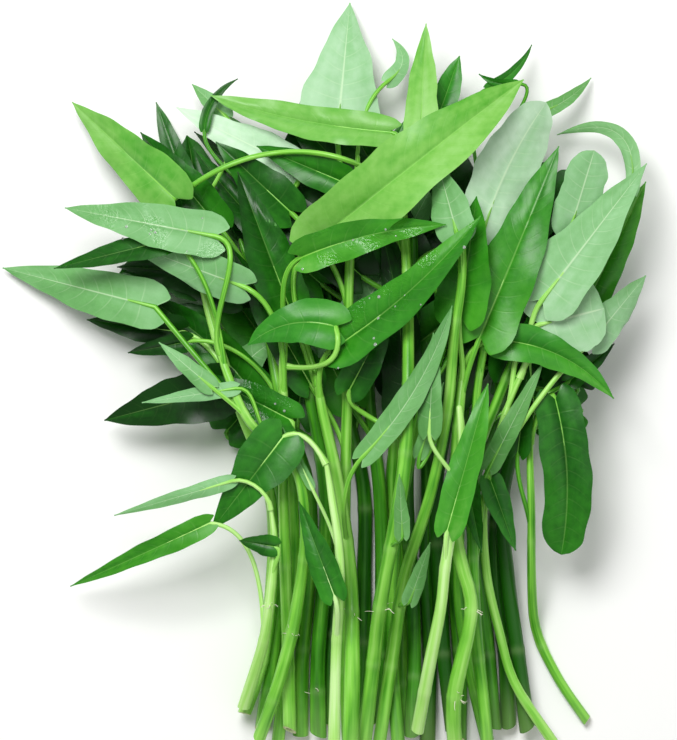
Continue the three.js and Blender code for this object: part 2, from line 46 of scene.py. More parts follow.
bunch = {
    "planCentre": (-8, -3),  # the middle of the bunch in the plan
    "stemRadius": 3.3,
    "stemTopShare": 0.55,  # how thick a stem's tip is, as a share of its foot
    "stalkRadius": 1.35,
    "stalkHandle": 0.35,  # how straight a stalk leaves its stem and comes to its blade
    "ribDepth": 1,
    "bladeThickness": 0.7,
    "lobeLength": 7,
    "fullness": 0.35,  # from 0, a slender leaf, to 1, a full one, where a leaf doesn't say
    "foldSlope": 0.12,  # how steeply both halves of a blade rise
    "mostRoll": 0.45,  # how steeply a blade may lean over on what is below it
    "rollShare": 0.6,  # how much of the slope below it a blade takes up
    "clearance": 0.35,  # air between what lies and what it lies on
    "stemStep": 42,  # between the stations at which heights are found
    "stalkStep": 27,
    "neckLength": 3,  # from a stalk's last station to its blade
    "sampleStep": 2,
    "stemBend": 140,  # the tightest radius that a stem bends to
    "leafBend": 90,
    "sweptShare": 0.3,  # the part of a blade whose edges hang back beside its stalk
    "besideStalk": 6,  # how far from a stalk's root a stem keeps clear of what is below
    "sink": 2,  # how far the stem may still come down into that clear space
    "settlePasses": 3,
}

# share of the length, then share of the half width on a slender and on a full leaf
bladeStations = [(0, 0.66, 0.7), (0.12, 1, 0.96), (0.38, 0.8, 1), (0.68, 0.45, 0.78), (1, 0, 0)]


def leafAt(start, base, tip, wide, face, tone, **more):
    return dict(start=start, base=base, tip=tip, wide=wide, face=face, tone=tone, **more)


def stemAlong(path, *leaves, **more):
    return dict(path=path, leaves=leaves, **more)


# Every leafy stem that shows, lowest in the heap first. A leaf has the y at which its stalk
# leaves the stem, its base and tip, its width, the face that it shows, and how pale that is.
# bow bends its midrib, full and blunt widen its middle and its tip, and via leads its stalk.
# over lays that stalk on the other leaves of the stem, and wet puts drops on the leaf.
# tone and radius are those of the stem itself, where it has its own.
frontStems = [
    stemAlong(
        [(-47, -172), (-38, -145), (-33, -105), (-34, -60), (-50, -15), (-64, 30), (-72, 72)],
        leafAt(-12, (-79, 19), (-125, 25), 17, "upper", 0),
        leafAt(42, (-75, 89), (-91, 134), 14, "upper", 0.15),
        leafAt(62, (-56, 126), (-72.5, 142), 10, "under", 0.4),
    ),
    stemAlong(
        [(-30, -186), (-25, -140), (-22, -95), (-24, -45), (-32, 5), (-40, 55), (-44, 96)],
        leafAt(-58, (-55, -9), (-116, -25), 28, "upper", -0.03),
        leafAt(-22, (-74, 14), (-104, 8.5), 11, "upper", 0.05),
        leafAt(20, (-60, 72), (-98, 118), 22, "upper", 0.16),
        leafAt(60, (-22, 100), (-80, 130), 21, "under", 0.88),
        leafAt(80, (-66, 119), (-49.5, 144), 6, "upper", 0.15, bow=4),
        tone=0.4,
    ),
    stemAlong(
        [(5, -190), (4, -140), (3, -90), (4, -40), (5, 10), (6, 60), (10, 104)],
        leafAt(-48, (-14, -6), (-52, 60), 20, "upper", 0.1),
        leafAt(20, (-24, 78), (-60, 112), 22, "upper", 0.14),
        leafAt(64, (0, 119), (6, 183.5), 40, "under", 0.68, full=0.1),
        leafAt(84, (25, 143), (27, 165), 9, "under", 0.5, bow=-6),
    ),
    stemAlong(
        [(30, -188), (27, -140), (28, -90), (36, -40), (50, 10), (62, 60), (72, 104)],
        leafAt(-20, (66, 30), (84, 110), 24, "upper", 0.08),
        leafAt(52, (47, 118), (60, 155), 16, "upper", 0.3, full=0.6),
        leafAt(70, (100, 127), (126.5, 146), 8, "under", 0.35, bow=-2),
        leafAt(84, (74, 139), (96.5, 162), 6, "upper", 0.25, bow=-3),
        leafAt(92, (88, 141), (69.5, 146), 5, "upper", 0.3, bow=2),
        tone=0.3,
    ),
    stemAlong(
        [(75, -187), (66, -150), (60, -110), (62, -60), (80, -10), (100, 40), (112, 78)],
        leafAt(-32, (114, -5), (136, 13), 11, "upper", 0.1),
        leafAt(-4, (124, 36), (152, 93), 20, "upper", 0.5),
        leafAt(30, (113.5, 70), (125, 107), 22, "under", 0.58, full=1, blunt=0.4),
        leafAt(46, (145, 88), (109, 117), 8, "under", 0.5, full=1, bow=-18),
        tone=0.3,
    ),
    stemAlong(
        [(125, -176), (110, -154), (99, -130), (96, -105), (95, -70), (94, -40), (95, -12)],
        leafAt(-84, (88, -40), (93, 2), 12, "upper", 0.1),
        leafAt(-36, (106, -14), (110, -91), 24, "upper", 0.2, full=1, blunt=0.55, bow=4),
        leafAt(-22, (97, 16), (126, 60), 20, "upper", 0.15),
        tone=0.42,
        radius=2.6,
    ),
    stemAlong(
        [(107, -185), (88, -156), (80, -130), (73, -98), (72, -60), (82, -20), (96, 12)],
        leafAt(-52, (125, 15), (151.5, 46.5), 18, "under", 0.6, via=(100, -5)),
        leafAt(-22, (98, 22), (130, 30), 36, "under", 0.7, full=1, blunt=0.5),
        leafAt(-4, (99, 34), (151, 101), 33, "under", 0.56, full=0.1),
        radius=2.5,
    ),
    stemAlong(
        [(74, -187), (72, -165), (68, -130), (66, -95), (66, -55), (68, -10), (74, 24)],
        leafAt(-106, (74.5, -54), (87, -88.5), 13, "upper", 0.2, via=(73, -35)),
        leafAt(-92, (62, -52), (70, -89), 11, "upper", 0.2, via=(58, -38)),
        leafAt(-74, (74, -47), (100, 4), 11, "under", 0.2),
        leafAt(-2, (70, 66), (102, 131), 30, "under", 0.84, full=1, blunt=0.3, bow=3),
        tone=0.35,
    ),
    stemAlong(
        [(58, -188), (57, -160), (65, -118), (60, -94), (57, -75), (58, -30), (62, 8)],
        leafAt(-44, (77, 14.5), (134.5, -14), 19, "upper", 0.46, bow=7),
        leafAt(-28, (69, 16), (107.5, 109), 32, "upper", 0.36),
        leafAt(-6, (59, 26), (67, 84), 26, "upper", 0.35),
        tone=0.55,
        radius=3.9,
    ),
    stemAlong(
        [(20, -188), (27, -140), (33, -100), (45, -60), (53, -20), (56, 15), (60, 50), (56, 88)],
        leafAt(-116, (35, -113), (45, -84), 9, "under", 0.3),
        leafAt(-22, (39.5, -41), (51, -6), 8, "under", 0.25, via=(36, -60)),
        leafAt(24, (57, 67), (48, 100), 20, "under", 0.4),
        leafAt(60, (40, 115), (43.5, 171), 17, "upper", 0.75),
    ),
    stemAlong(
        [(12, -188), (15, -165), (21, -112), (27, -78), (32, -45), (34, 0), (33, 60), (27, 112)],
        leafAt(-86, (31, -80), (29.5, -50), 8, "under", 0.3),
        leafAt(-40, (6, -9), (29, 35), 18, "upper", 0.22),
        leafAt(48, (2, 92), (-40, 110), 18, "upper", 0.27),
        leafAt(84, (25, 116), (-63, 135.5), 18, "upper", 0.7, full=0.8, bow=3),
        leafAt(90, (-80, 84), (-132.5, 133.5), 26, "upper", 0.7, via=(-28, 126), over=1),
        radius=3.8,
    ),
    stemAlong(
        [(39, -178), (45, -142), (50, -115), (52, -95), (56, -70), (60, -40), (58, -12)],
        leafAt(-96, (53, -77), (72.5, -6.5), 16, "upper", 0.5, full=0.7),
        leafAt(-60, (44, -30), (46, 18), 12, "under", 0.2),
    ),
    stemAlong(
        [(6, -188), (7, -140), (6, -100), (0, -55), (-8, -18), (-10, -4)],
        leafAt(-84, (12, -42), (55, 31), 13, "under", 0.25, bow=-5, full=0.8),
        leafAt(-46, (-24, 31), (-49, 97), 25, "upper", 0.12),
        leafAt(-14, (-3, 10), (68.5, 74), 24, "upper", 0.36, bow=-4, wet=1),
        leafAt(-8, (-13.5, 60.5), (90.5, 141.5), 33, "upper", 0.7, full=1),
        radius=4.1,
    ),
    stemAlong(
        [(-24, -181), (-25, -135), (-26, -95), (-27, -55), (-26, -35), (-27, 0), (-25, 22)],
        leafAt(-42, (-24, -24), (-66, -2), 20, "upper", 0.2, wet=1),
        leafAt(-12, (-47, 41), (-103, 62), 20, "under", 0.5),
        leafAt(2, (-1, 21), (-44, 12), 24, "upper", 0.36, bow=-6, via=(5, -3)),
        leafAt(8, (-17, 55), (52, 70), 19, "upper", 0.46, bow=3, wet=1),
    ),
    stemAlong(
        [(-40, -185), (-28, -150), (-20, -115), (-16, -75), (-22, -45), (-44, -24), (-60, 14)],
        leafAt(-36, (-50, -9), (-96, -16), 8, "under", 0.5),
        leafAt(-26, (-62, -8), (-87.5, 13.5), 10, "under", 0.4),
        leafAt(-22, (-90, 31), (-167.5, 51), 26, "under", 0.36, via=(-66, 2)),
        leafAt(2, (-80, 64), (-140, 50), 14, "upper", 0.15, via=(-60, 45), wet=1),
        leafAt(8, (-60, 65), (-134, 79.5), 24, "under", 0.38, wet=1),
    ),
    stemAlong(
        [(-2, -188), (-1, -140), (1, -95), (-3, -62), (-6, -44)],
        leafAt(-132, (-2, -109), (-19, -64), 15, "upper", 0.24),
        leafAt(-100, (-13, -57), (-27, -28), 5, "under", 0.3),
        leafAt(-46, (-27, -33), (-62.5, -79), 28, "upper", 0.25, full=0.1, via=(-16, -26)),
        tone=1,
        radius=3,
    ),
    stemAlong(
        [(-47, -168), (-37, -135), (-33, -110), (-31, -85), (-33, -66)],
        leafAt(-133, (-63, -75), (-133, -107.5), 12, "upper", 0.42, via=(-36, -76)),
        leafAt(-104, (-31, -86), (-48, -83), 11, "upper", 0.22),
        leafAt(-68, (-51.5, -54), (-110, -71.5), 8, "under", 0.45),
        radius=3,
    ),
]

# The leafy stems at the back, by rule: each runs through the rows from its cut end to its tip
backStems = {
    "feet": [-33, -18, -10, 12, 22, 32, 38, 46, 53, 61, 75, 84, -4, 90],
    "order": [5, 0, 9, 12, 3, 11, 1, 7, 13, 4, 2, 8, 10, 6],
    "bundleMiddle": 24,
    "bundleHalf": 60,
    # how far a row's middle is from the bundle's, its half width, how far a stem strays, lowest and highest y
    "rows": [
        (0, 63, 3, -188, -176), (0, 60, 0, -145, -145), (0, 55, 0, -105, -105), (-2, 55, 3, -60, -60),
        (-5, 66, 5, -15, -15), (-9, 80, 6, 30, 30), (-12, 92, 6, 62, 84),
    ],
    "leafHeights": (-44, -6, 26, 54),
    "leafStray": 9,
    "lean": 0.75,  # radians at the edge of the bundle
    "leafTurns": ((0.1, 0.5), (0.35, 1.15), (0.35, 1.15), (0.35, 1.15)),
    "stalkReach": (24, 42),
    "leafLength": (80, 115),
    "leafWidth": (21, 30),
    "leafBow": (-6, 6),
    "leafFull": (0.2, 0.9),
    "underShare": 0.25,
    "radius": (3.5, 4.2),
    "crownMiddle": (10, 56),
    "crownAcross": 120,
    "crownAlong": 88,
    "shortestLeaf": 30,
    "seed": 20607,
    "toneSeed": 11,
    # the back leaves' tone ranges are pulled darker, painted shade deep in the heap, over each leaf's own
    # spread
    "upperTones": (-0.1, 0.32),
    "underTones": (0.15, 0.5),
}


def mixPoints(a, b, t):
    return tuple(p + (q - p) * t for p, q in zip(a, b))


def direction(a, b):
    length = math.dist(a, b)
    return ((b[0] - a[0]) / length, (b[1] - a[1]) / length)


def leftOf(way):
    return (-way[1], way[0])


def offsetPoint(point, way, length):
    return (point[0] + way[0] * length, point[1] + way[1] * length)


def smoothPath(points, steps=12):  # a curve that runs through all the points
    line = [points[0]]
    for k in range(len(points) - 1):
        a, b = points[max(0, k - 1)], points[k]
        c, d = points[k + 1], points[min(len(points) - 1, k + 2)]
        for step in range(1, steps + 1):
            t = step / steps
            near = 0.5 * (-t + 2 * t * t - t**3)
            at = 0.5 * (2 - 5 * t * t + 3 * t**3)
            to = 0.5 * (t + 4 * t * t - 3 * t**3)
            far = 0.5 * (t**3 - t * t)
            line.append(tuple(near * a[i] + at * b[i] + to * c[i] + far * d[i] for i in (0, 1)))
    return line


def along(line, length):  # the place at a length along a line, and the way it runs there
    for k in range(len(line) - 1):
        step = math.dist(line[k], line[k + 1])
        if length <= step or k + 2 == len(line):
            return mixPoints(line[k], line[k + 1], length / step), direction(line[k], line[k + 1])
        length -= step


def lengthOf(line):
    return sum(math.dist(a, b) for a, b in zip(line, line[1:]))


def lengthAtY(line, y):
    length = 0
    for a, b in zip(line, line[1:]):
        step = math.dist(a, b)
        if a[1] <= y < b[1]:
            return length + step * (y - a[1]) / (b[1] - a[1])
        length += step
    return length


def bezier(points, t):
    while len(points) > 1:
        points = [mixPoints(a, b, t) for a, b in zip(points, points[1:])]
    return points[0]


class Draws:  # repeatable numbers from 0 to 1, the same ones that the solids were laid with
    def __init__(self, seed):
        self.seed = seed

    def one(self):
        self.seed = (self.seed * 16807) % 2147483647
        return self.seed / 2147483647

    def between(self, low, high):
        return low + (high - low) * self.one()


def tipInCrown(base, way, length):  # shortens a leaf until it ends within the crown
    middle = backStems["crownMiddle"]
    while length > backStems["shortestLeaf"]:
        tip = offsetPoint(base, way, length)
        across = (tip[0] - middle[0]) / backStems["crownAcross"]
        if across**2 + ((tip[1] - middle[1]) / backStems["crownAlong"]) ** 2 < 1:
            return tip
        length -= 5
    return offsetPoint(base, direction(base, middle), backStems["shortestLeaf"])


def backStem(foot, place, draws):  # a stem through the rows, with its leaves to both sides in turn
    middle, between = backStems["bundleMiddle"], draws.between
    share = (foot - middle) / backStems["bundleHalf"]
    path = []
    for shift, half, stray, low, high in backStems["rows"]:
        x = middle + shift + half * share + (between(-stray, stray) if stray else 0)
        path.append((x, between(low, high) if high > low else low))
    line = smoothPath(path)
    leaves = []
    for k, (height, turns) in enumerate(zip(backStems["leafHeights"], backStems["leafTurns"])):
        side = 1 if (k + place) % 2 else -1
        start = height + between(-backStems["leafStray"], backStems["leafStray"])
        at, _ = along(line, lengthAtY(line, start))
        angle = backStems["lean"] * share + side * between(*turns)
        way = (math.sin(angle), math.cos(angle))
        base = offsetPoint(at, way, between(*backStems["stalkReach"]))
        tip = tipInCrown(base, way, between(*backStems["leafLength"]))
        wide = between(*backStems["leafWidth"])
        face = "under" if draws.one() < backStems["underShare"] else "upper"
        bow, full = between(*backStems["leafBow"]), between(*backStems["leafFull"])
        leaves.append(leafAt(start, base, tip, wide, face, None, bow=bow, full=full))
    return stemAlong(path, *leaves, radius=between(*backStems["radius"]))


class Heap:  # the table and all that lies on it so far, as the height of each cell of a grid
    half = 240

    def __init__(self, cell, height=None):
        self.cell, self.side = cell, 2 * self.half // cell
        self.height = np.zeros(self.side * self.side) if height is None else height

    def copy(self):
        return Heap(self.cell, self.height.copy())

    def near(self, x, y, reach):  # the cells about each point, how far off they are, and which count
        steps = math.ceil(np.max(reach) / self.cell)
        di, dj = np.meshgrid(range(-steps, steps + 1), range(-steps, steps + 1))
        i = np.floor((x + self.half) / self.cell).astype(int)[:, None] + di.ravel()
        j = np.floor((y + self.half) / self.cell).astype(int)[:, None] + dj.ravel()
        dx = (i + 0.5) * self.cell - self.half - x[:, None]
        dy = (j + 0.5) * self.cell - self.half - y[:, None]
        apart = np.sqrt(dx * dx + dy * dy)
        return j * self.side + i, apart, apart <= np.broadcast_to(reach, x.shape)[:, None]

    def reachOf(self, x, y, radius, grow, less):  # how far a ball at each point bulges over those cells
        radius = np.broadcast_to(np.asarray(radius, float), x.shape)
        index, apart, near = self.near(x, y, radius + grow * self.cell)
        across = np.maximum(0, apart - less * self.cell)
        return index, np.sqrt(np.maximum(radius[:, None] ** 2 - across**2, 0)), near

    def clearOf(self, x, y, radius):  # how high balls have to be to clear what lies there
        index, bulge, near = self.reachOf(x, y, radius, 1, 0.75)
        return np.maximum(0, np.where(near, self.height[index] + bulge, 0).max(1))

    def raiseTo(self, x, y, z, radius):  # lays balls on the heap
        if not len(x):
            return
        index, bulge, near = self.reachOf(x, y, radius, 0.5, 0.5)
        np.maximum.at(self.height, index[near], (z[:, None] + bulge)[near])


# Lays a line of stations on what is below, by how high each sample of it has to be. It bends
# no tighter than it can on the way, and a pinned one stays where it leaves the stem.
def settle(stations, samples, bend, pinned):
    for k, station in enumerate(stations):
        if k or not pinned:
            lowest = samples["need"] - (station["s"] - samples["s"]) ** 2 / (2 * bend)
            station["z"] = max(lowest.max(), station["floor"])
    rows = list(zip(samples["k"].tolist(), samples["t"].tolist(), samples["need"].tolist()))
    z = [station["z"] for station in stations]
    for _ in range(bunch["settlePasses"]):
        for k, t, need in rows:
            short = need - (z[k] * (1 - t) + z[k + 1] * t)
            if short > 0:
                if k > 0 or not pinned:
                    z[k] += short
                z[k + 1] += short / max(t, 0.25) if k == 0 and pinned else short
    for station, height in zip(stations, z):
        station["z"] = height


def asArrays(rows, names):
    columns = zip(*rows)
    return {name: np.array(column, float) for name, column in zip(names, columns)}


def rodSamples(stations, first, last, heap):  # points along a stem or a stalk, and how high each has to be
    rows = []
    for k in range(first, last):
        a, b = stations[k], stations[k + 1]
        count = math.ceil((b["s"] - a["s"]) / bunch["sampleStep"])
        for i in range(count + 1):
            t = i / count
            x, y = mixPoints(a["at"], b["at"], t)
            radius = a["radius"] + (b["radius"] - a["radius"]) * t
            rows.append((k, t, a["s"] + (b["s"] - a["s"]) * t, x, y, radius))
    samples = asArrays(rows, ("k", "t", "s", "x", "y", "radius"))
    samples["k"] = samples["k"].astype(int)
    samples["need"] = heap.clearOf(samples["x"], samples["y"], samples["radius"]) + bunch["clearance"]
    return samples


def heightOf(stations, samples):
    z = np.array([station["z"] for station in stations])
    k, t = samples["k"], samples["t"]
    return z[k] * (1 - t) + z[k + 1] * t


def layStem(shoot, heap):  # the stem in plan, and its heights
    line = smoothPath(shoot["path"])
    total = lengthOf(line)
    spans = int(total / bunch["stemStep"] + 0.5)
    foot = shoot.get("radius", bunch["stemRadius"])
    stations = []
    for k in range(spans + 1):
        s = total * k / spans
        at, _ = along(line, s)
        radius = foot * (1 - (1 - bunch["stemTopShare"]) * (s / total) ** 1.5)
        stations.append(dict(s=s, at=at, radius=radius, floor=radius * math.sin(math.pi / 3)))
    samples = rodSamples(stations, 0, spans, heap)
    nodes = [lengthAtY(line, leaf["start"]) for leaf in shoot["leaves"]]
    beside = np.min([abs(samples["s"] - s) for s in nodes], axis=0) < bunch["besideStalk"]
    wider = heap.clearOf(samples["x"], samples["y"], bunch["besideStalk"]) - bunch["sink"]
    samples["need"] = np.where(beside, np.maximum(samples["need"], wider), samples["need"])
    samples["need"][samples["need"] <= samples["radius"] + bunch["clearance"]] = 0
    settle(stations, samples, bunch["stemBend"], False)
    return dict(line=line, stations=stations, total=total, nodes=nodes, tone=shoot.get("tone"))


def stemAt(stem, s):  # its place, its height and the way it runs there
    stations = stem["stations"]
    k = min(len(stations) - 2, math.floor(s / stem["total"] * (len(stations) - 1)))
    a, b = stations[k], stations[k + 1]
    t = (s - a["s"]) / (b["s"] - a["s"])
    return mixPoints(a["at"], b["at"], t), a["z"] + (b["z"] - a["z"]) * t, direction(a["at"], b["at"])


def leafStations(leaf, at, way):  # a leaf in plan, along its stalk and on along its midrib
    base, tip = leaf["base"], leaf["tip"]
    span = math.dist(at, base)
    control = offsetPoint(mixPoints(base, tip, 0.5), leftOf(direction(base, tip)), 2 * leaf.get("bow", 0))
    rib = [base, control, tip]
    handle = bunch["stalkHandle"] * span
    stalk = [at, offsetPoint(at, way, handle), offsetPoint(base, direction(base, control), -handle), base]
    if "via" in leaf:
        stalk = [at, leaf["via"], base]
    stalkLength = lengthOf([bezier(stalk, k / 8) for k in range(9)])
    spans = max(1, min(4, int(stalkLength / bunch["stalkStep"] + 0.5)))
    neckShare = 1 - bunch["neckLength"] / max(stalkLength, 2 * bunch["neckLength"])
    radius = bunch["stalkRadius"]
    stations = [
        dict(at=bezier(stalk, neckShare * k / spans), radius=radius, floor=radius)
        for k in range(spans + 1)
    ]
    neck = stations[spans]
    neckWay = leftOf(direction(neck["at"], base))
    for side, reach in (("left", radius), ("right", -radius)):
        neck[side] = offsetPoint(neck["at"], neckWay, reach)
    neck["half"] = radius
    length = math.dist(base, tip)
    lobe = min(bunch["lobeLength"], 0.35 * leaf["wide"], 0.2 * length)
    for share, slender, full in bladeStations:
        at = bezier(rib, share)
        way = direction(bezier(rib, share - 0.01), bezier(rib, share + 0.01))
        blunt = leaf.get("blunt", 0) if share == 1 else 0
        half = 0.5 * leaf["wide"] * (slender + (full - slender) * leaf.get("full", bunch["fullness"]) + blunt)
        back = offsetPoint(at, way, -lobe * max(0, 1 - share / bunch["sweptShare"]) ** 2)
        stations.append(dict(
            at=at, rib=bunch["ribDepth"] * (1 - share), half=half, floor=bunch["bladeThickness"],
            left=offsetPoint(back, leftOf(way), half), right=offsetPoint(back, leftOf(way), -half),
        ))
    s = 0
    for k, station in enumerate(stations):
        s += math.dist(stations[k - 1]["at"], station["at"]) if k else 0
        station["s"] = s
    shape = dict(stalk=stalk, neckShare=neckShare, stalkLength=stalkLength, rib=rib, lobe=lobe, length=length)
    return stations, spans, shape


def slopeUnder(blade, heap):  # how steeply what lies below it slopes across the blade
    reach = 0.7  # how far out on the blade it is felt
    high = np.array([mixPoints(b["at"], b["left"], reach) for b in blade])
    low = np.array([mixPoints(b["at"], b["right"], reach) for b in blade])
    rise = (heap.clearOf(high[:, 0], high[:, 1], 0) - heap.clearOf(low[:, 0], low[:, 1], 0)).sum()
    run = sum(2 * reach * b["half"] for b in blade)
    return max(-bunch["mostRoll"], min(bunch["mostRoll"], bunch["rollShare"] * rise / run))


def bladeSamples(stations, neck, ribBelow, heap):  # points all over a blade, and the height each asks for
    rows = []
    halfThick = bunch["bladeThickness"] / 2
    for k in range(neck, len(stations) - 1):
        a, b = stations[k], stations[k + 1]
        count = math.ceil((b["s"] - a["s"]) / bunch["sampleStep"])
        acrossCount = math.ceil(max(a["half"], b["half"]) / bunch["sampleStep"])
        for i in range(count + 1):
            t = i / count
            for j in range(-acrossCount, acrossCount + 1):
                q, side = abs(j) / acrossCount, "right" if j < 0 else "left"
                x, y = mixPoints(mixPoints(a["at"], a[side], q), mixPoints(b["at"], b[side], q), t)
                rise = q * (a["rise"][side] + (b["rise"][side] - a["rise"][side]) * t)
                rib = (1 - q) * b["rib"] + halfThick
                below, above = (rib, halfThick) if ribBelow else (halfThick, rib)
                rows.append((k, t, a["s"] + (b["s"] - a["s"]) * t, x, y, rise, below, above))
    samples = asArrays(rows, ("k", "t", "s", "x", "y", "rise", "below", "above"))
    samples["k"] = samples["k"].astype(int)
    clear = heap.clearOf(samples["x"], samples["y"], 0)
    samples["need"] = clear + samples["below"] + bunch["clearance"] - samples["rise"]
    return samples


def layLeaf(leaf, stem, s, under, heap):  # its stalk may lie among the leaves of its own stem, its blade not
    at, z, way = stemAt(stem, s)
    stations, spans, shape = leafStations(leaf, at, way)
    stations[0]["z"] = z
    blade = stations[spans + 1:]
    roll, fold, rootZone = slopeUnder(blade, heap), bunch["foldSlope"], 5
    stations[spans]["rise"] = {"left": 0, "right": 0}
    for station in blade:
        station["rise"] = {"left": (fold + roll) * station["half"], "right": (fold - roll) * station["half"]}
    rod = rodSamples(stations, 0, spans, under)
    keep = rod["s"] > rootZone
    rod = {name: column[keep] for name, column in rod.items()}
    skin = bladeSamples(stations, spans, leaf["face"] == "upper", heap)
    both = {name: np.concatenate([rod[name], skin[name]]) for name in ("k", "t", "s", "need")}
    settle(stations, both, bunch["leafBend"], True)
    heap.raiseTo(rod["x"], rod["y"], heightOf(stations, rod), rod["radius"])
    heap.raiseTo(skin["x"], skin["y"], heightOf(stations, skin) + skin["rise"] + skin["above"], 0)
    slopes = {"left": fold + roll, "right": fold - roll}
    line = tuple(zip(*[(station["s"], station["z"]) for station in stations]))
    return dict(shape, line=line, spans=spans, slopes=slopes, leaf=leaf, s=s)


def layBunch():
    draws = Draws(backStems["seed"])
    back = [backStem(foot, place, draws) for place, foot in enumerate(backStems["feet"])]
    looks = random.Random(backStems["toneSeed"])
    for shoot in back:
        for leaf in shoot["leaves"]:
            # each back leaf's tone is drawn from those darkened ranges, which carry painted shade
            leaf["tone"] = looks.uniform(*backStems[leaf["face"] + "Tones"])
    heap, laid = Heap(2), []
    for shoot in [back[place] for place in backStems["order"]] + frontStems:
        under = heap.copy()
        stem = layStem(shoot, heap)
        rod = rodSamples(stem["stations"], 0, len(stem["stations"]) - 1, under)
        heap.raiseTo(rod["x"], rod["y"], heightOf(stem["stations"], rod), rod["radius"])
        leaves = [layLeaf(leaf, stem, s, under, heap) for leaf, s in zip(shoot["leaves"], stem["nodes"])]
        laid.append((stem, leaves))
    return laid


laid = layBunch()
print("laid", len(laid), "leafy stems with", sum(len(leaves) for _, leaves in laid), "leaves")


# The fine shapes: each leafy stem again, along the same stations


def pchip(x, y, at):  # a smooth line through the points, with no overshoot between them
    x, y, at = (np.asarray(values, float) for values in (x, y, at))
    gap = np.diff(x)
    slope = np.diff(y) / gap
    tilt = np.zeros(len(x))
    tilt[0], tilt[-1] = slope[0], slope[-1]
    for k in range(1, len(x) - 1):
        if slope[k - 1] * slope[k] > 0:
            a, b = 2 * gap[k] + gap[k - 1], gap[k] + 2 * gap[k - 1]
            tilt[k] = (a + b) / (a / slope[k - 1] + b / slope[k])
    k = np.clip(np.searchsorted(x, at, side="right") - 1, 0, len(x) - 2)
    t = (at - x[k]) / gap[k]
    ends = (1 + 2 * t) * (1 - t) ** 2 * y[k] + t * t * (3 - 2 * t) * y[k + 1]
    return ends + gap[k] * (t * (1 - t) ** 2 * tilt[k] + t * t * (t - 1) * tilt[k + 1])


def spread(push, passes):  # eases the steps of a lift into its surroundings, and never lowers it
    for axis in range(push.ndim):
        for _ in range(passes):
            pad = [(1, 1) if a == axis else (0, 0) for a in range(push.ndim)]
            wide = np.moveaxis(np.pad(push, pad, mode="edge"), axis, 0)
            eased = np.moveaxis((wide[:-2] + wide[1:-1] + wide[2:]) / 3, 0, axis)
            push = np.maximum(push * 0.999, eased)
    return push


def unit(vectors):
    return vectors / np.linalg.norm(vectors, axis=-1, keepdims=True)


def placeAt(line, s, length):  # the place at a length along a line of points
    return np.array([np.interp(length, s, column) for column in line.T])


def cornersOf(grid):  # the four corners of each cell of a grid
    return np.stack([grid[:-1, :-1], grid[:-1, 1:], grid[1:, 1:], grid[1:, :-1]], 2)


def lookOf(shape, *parts):  # the four numbers that each point has for the finishes
    return np.stack([np.broadcast_to(part, shape) for part in parts], -1)


class Skin:  # gathers the faces of one mesh, with each corner's place on its leaf or stem
    def __init__(self):
        self.points, self.looks, self.faces, self.places, self.finishes = [], [], [], [], []
        self.count = 0

    def addPoints(self, points, look):
        flat = np.asarray(points, float).reshape(-1, 3)
        self.points.append(flat)
        self.looks.append(np.broadcast_to(look, np.shape(points)[:-1] + (4,)).reshape(-1, 4))
        self.count += len(flat)
        return self.count - len(flat) + np.arange(len(flat)).reshape(np.shape(points)[:-1])

    def addFaces(self, corners, places, finish):
        self.faces += corners.tolist()
        self.places.append(places.reshape(-1, 2))
        self.finishes += [finish] * len(corners)

    def addGrid(self, index, places, finish, faceUp=True):
        turn = 1 if faceUp else -1
        corners = cornersOf(index)[:, :, ::turn].reshape(-1, 4)
        self.addFaces(corners, cornersOf(places)[:, :, ::turn], finish)

    def addFan(self, centre, ring, place, finish, faceOn=True):
        after = np.roll(ring, -1)
        pair = (ring, after) if faceOn else (after, ring)
        faces = np.stack([np.full(len(ring), centre), *pair], 1)
        self.addFaces(faces, np.broadcast_to(place, (len(ring), 3, 2)), finish)

    def toMesh(self, name, finishes):
        mesh = bpy.data.meshes.new(name)
        points = np.concatenate(self.points) * mm
        points[:, 2] = np.maximum(points[:, 2], 0)
        mesh.from_pydata(points.tolist(), [], self.faces)
        for material in finishes:
            mesh.materials.append(material)
        mesh.polygons.foreach_set("material_index", self.finishes)
        mesh.polygons.foreach_set("use_smooth", [True] * len(self.faces))
        mesh.uv_layers.new(name="skinUV").data.foreach_set("uv", np.concatenate(self.places).ravel())
        look = mesh.attributes.new("leafLook", "FLOAT_COLOR", "POINT")
        look.data.foreach_set("color", np.concatenate(self.looks).ravel())
        mesh.set_sharp_from_angle(angle=math.radians(50))
        return mesh


def tubeRings(centres, radii, sides):  # rings across a line, the first point of each to its left
    way = unit(np.gradient(centres, axis=0))
    left = unit(np.stack([-way[:, 1], way[:, 0], 0 * way[:, 0]], 1))
    up = np.cross(way, left)
    angle = 2 * math.pi * np.arange(sides) / sides
    ring = left[:, None] * np.cos(angle)[:, None] + up[:, None] * np.sin(angle)[:, None]
    return centres[:, None] + ring * np.asarray(radii)[:, None, None], way, angle


def wrapAround(skin, index, s, finish, faceOn=True):  # faces between rings of points
    index = np.concatenate([index, index[:, :1]], 1)
    around = np.linspace(0, 1, index.shape[1])
    places = np.stack(np.meshgrid(around, s), 2)
    skin.addGrid(index, places, finish, faceOn)


upperFinish, underFinish, stemFinish, pithFinish = range(4)

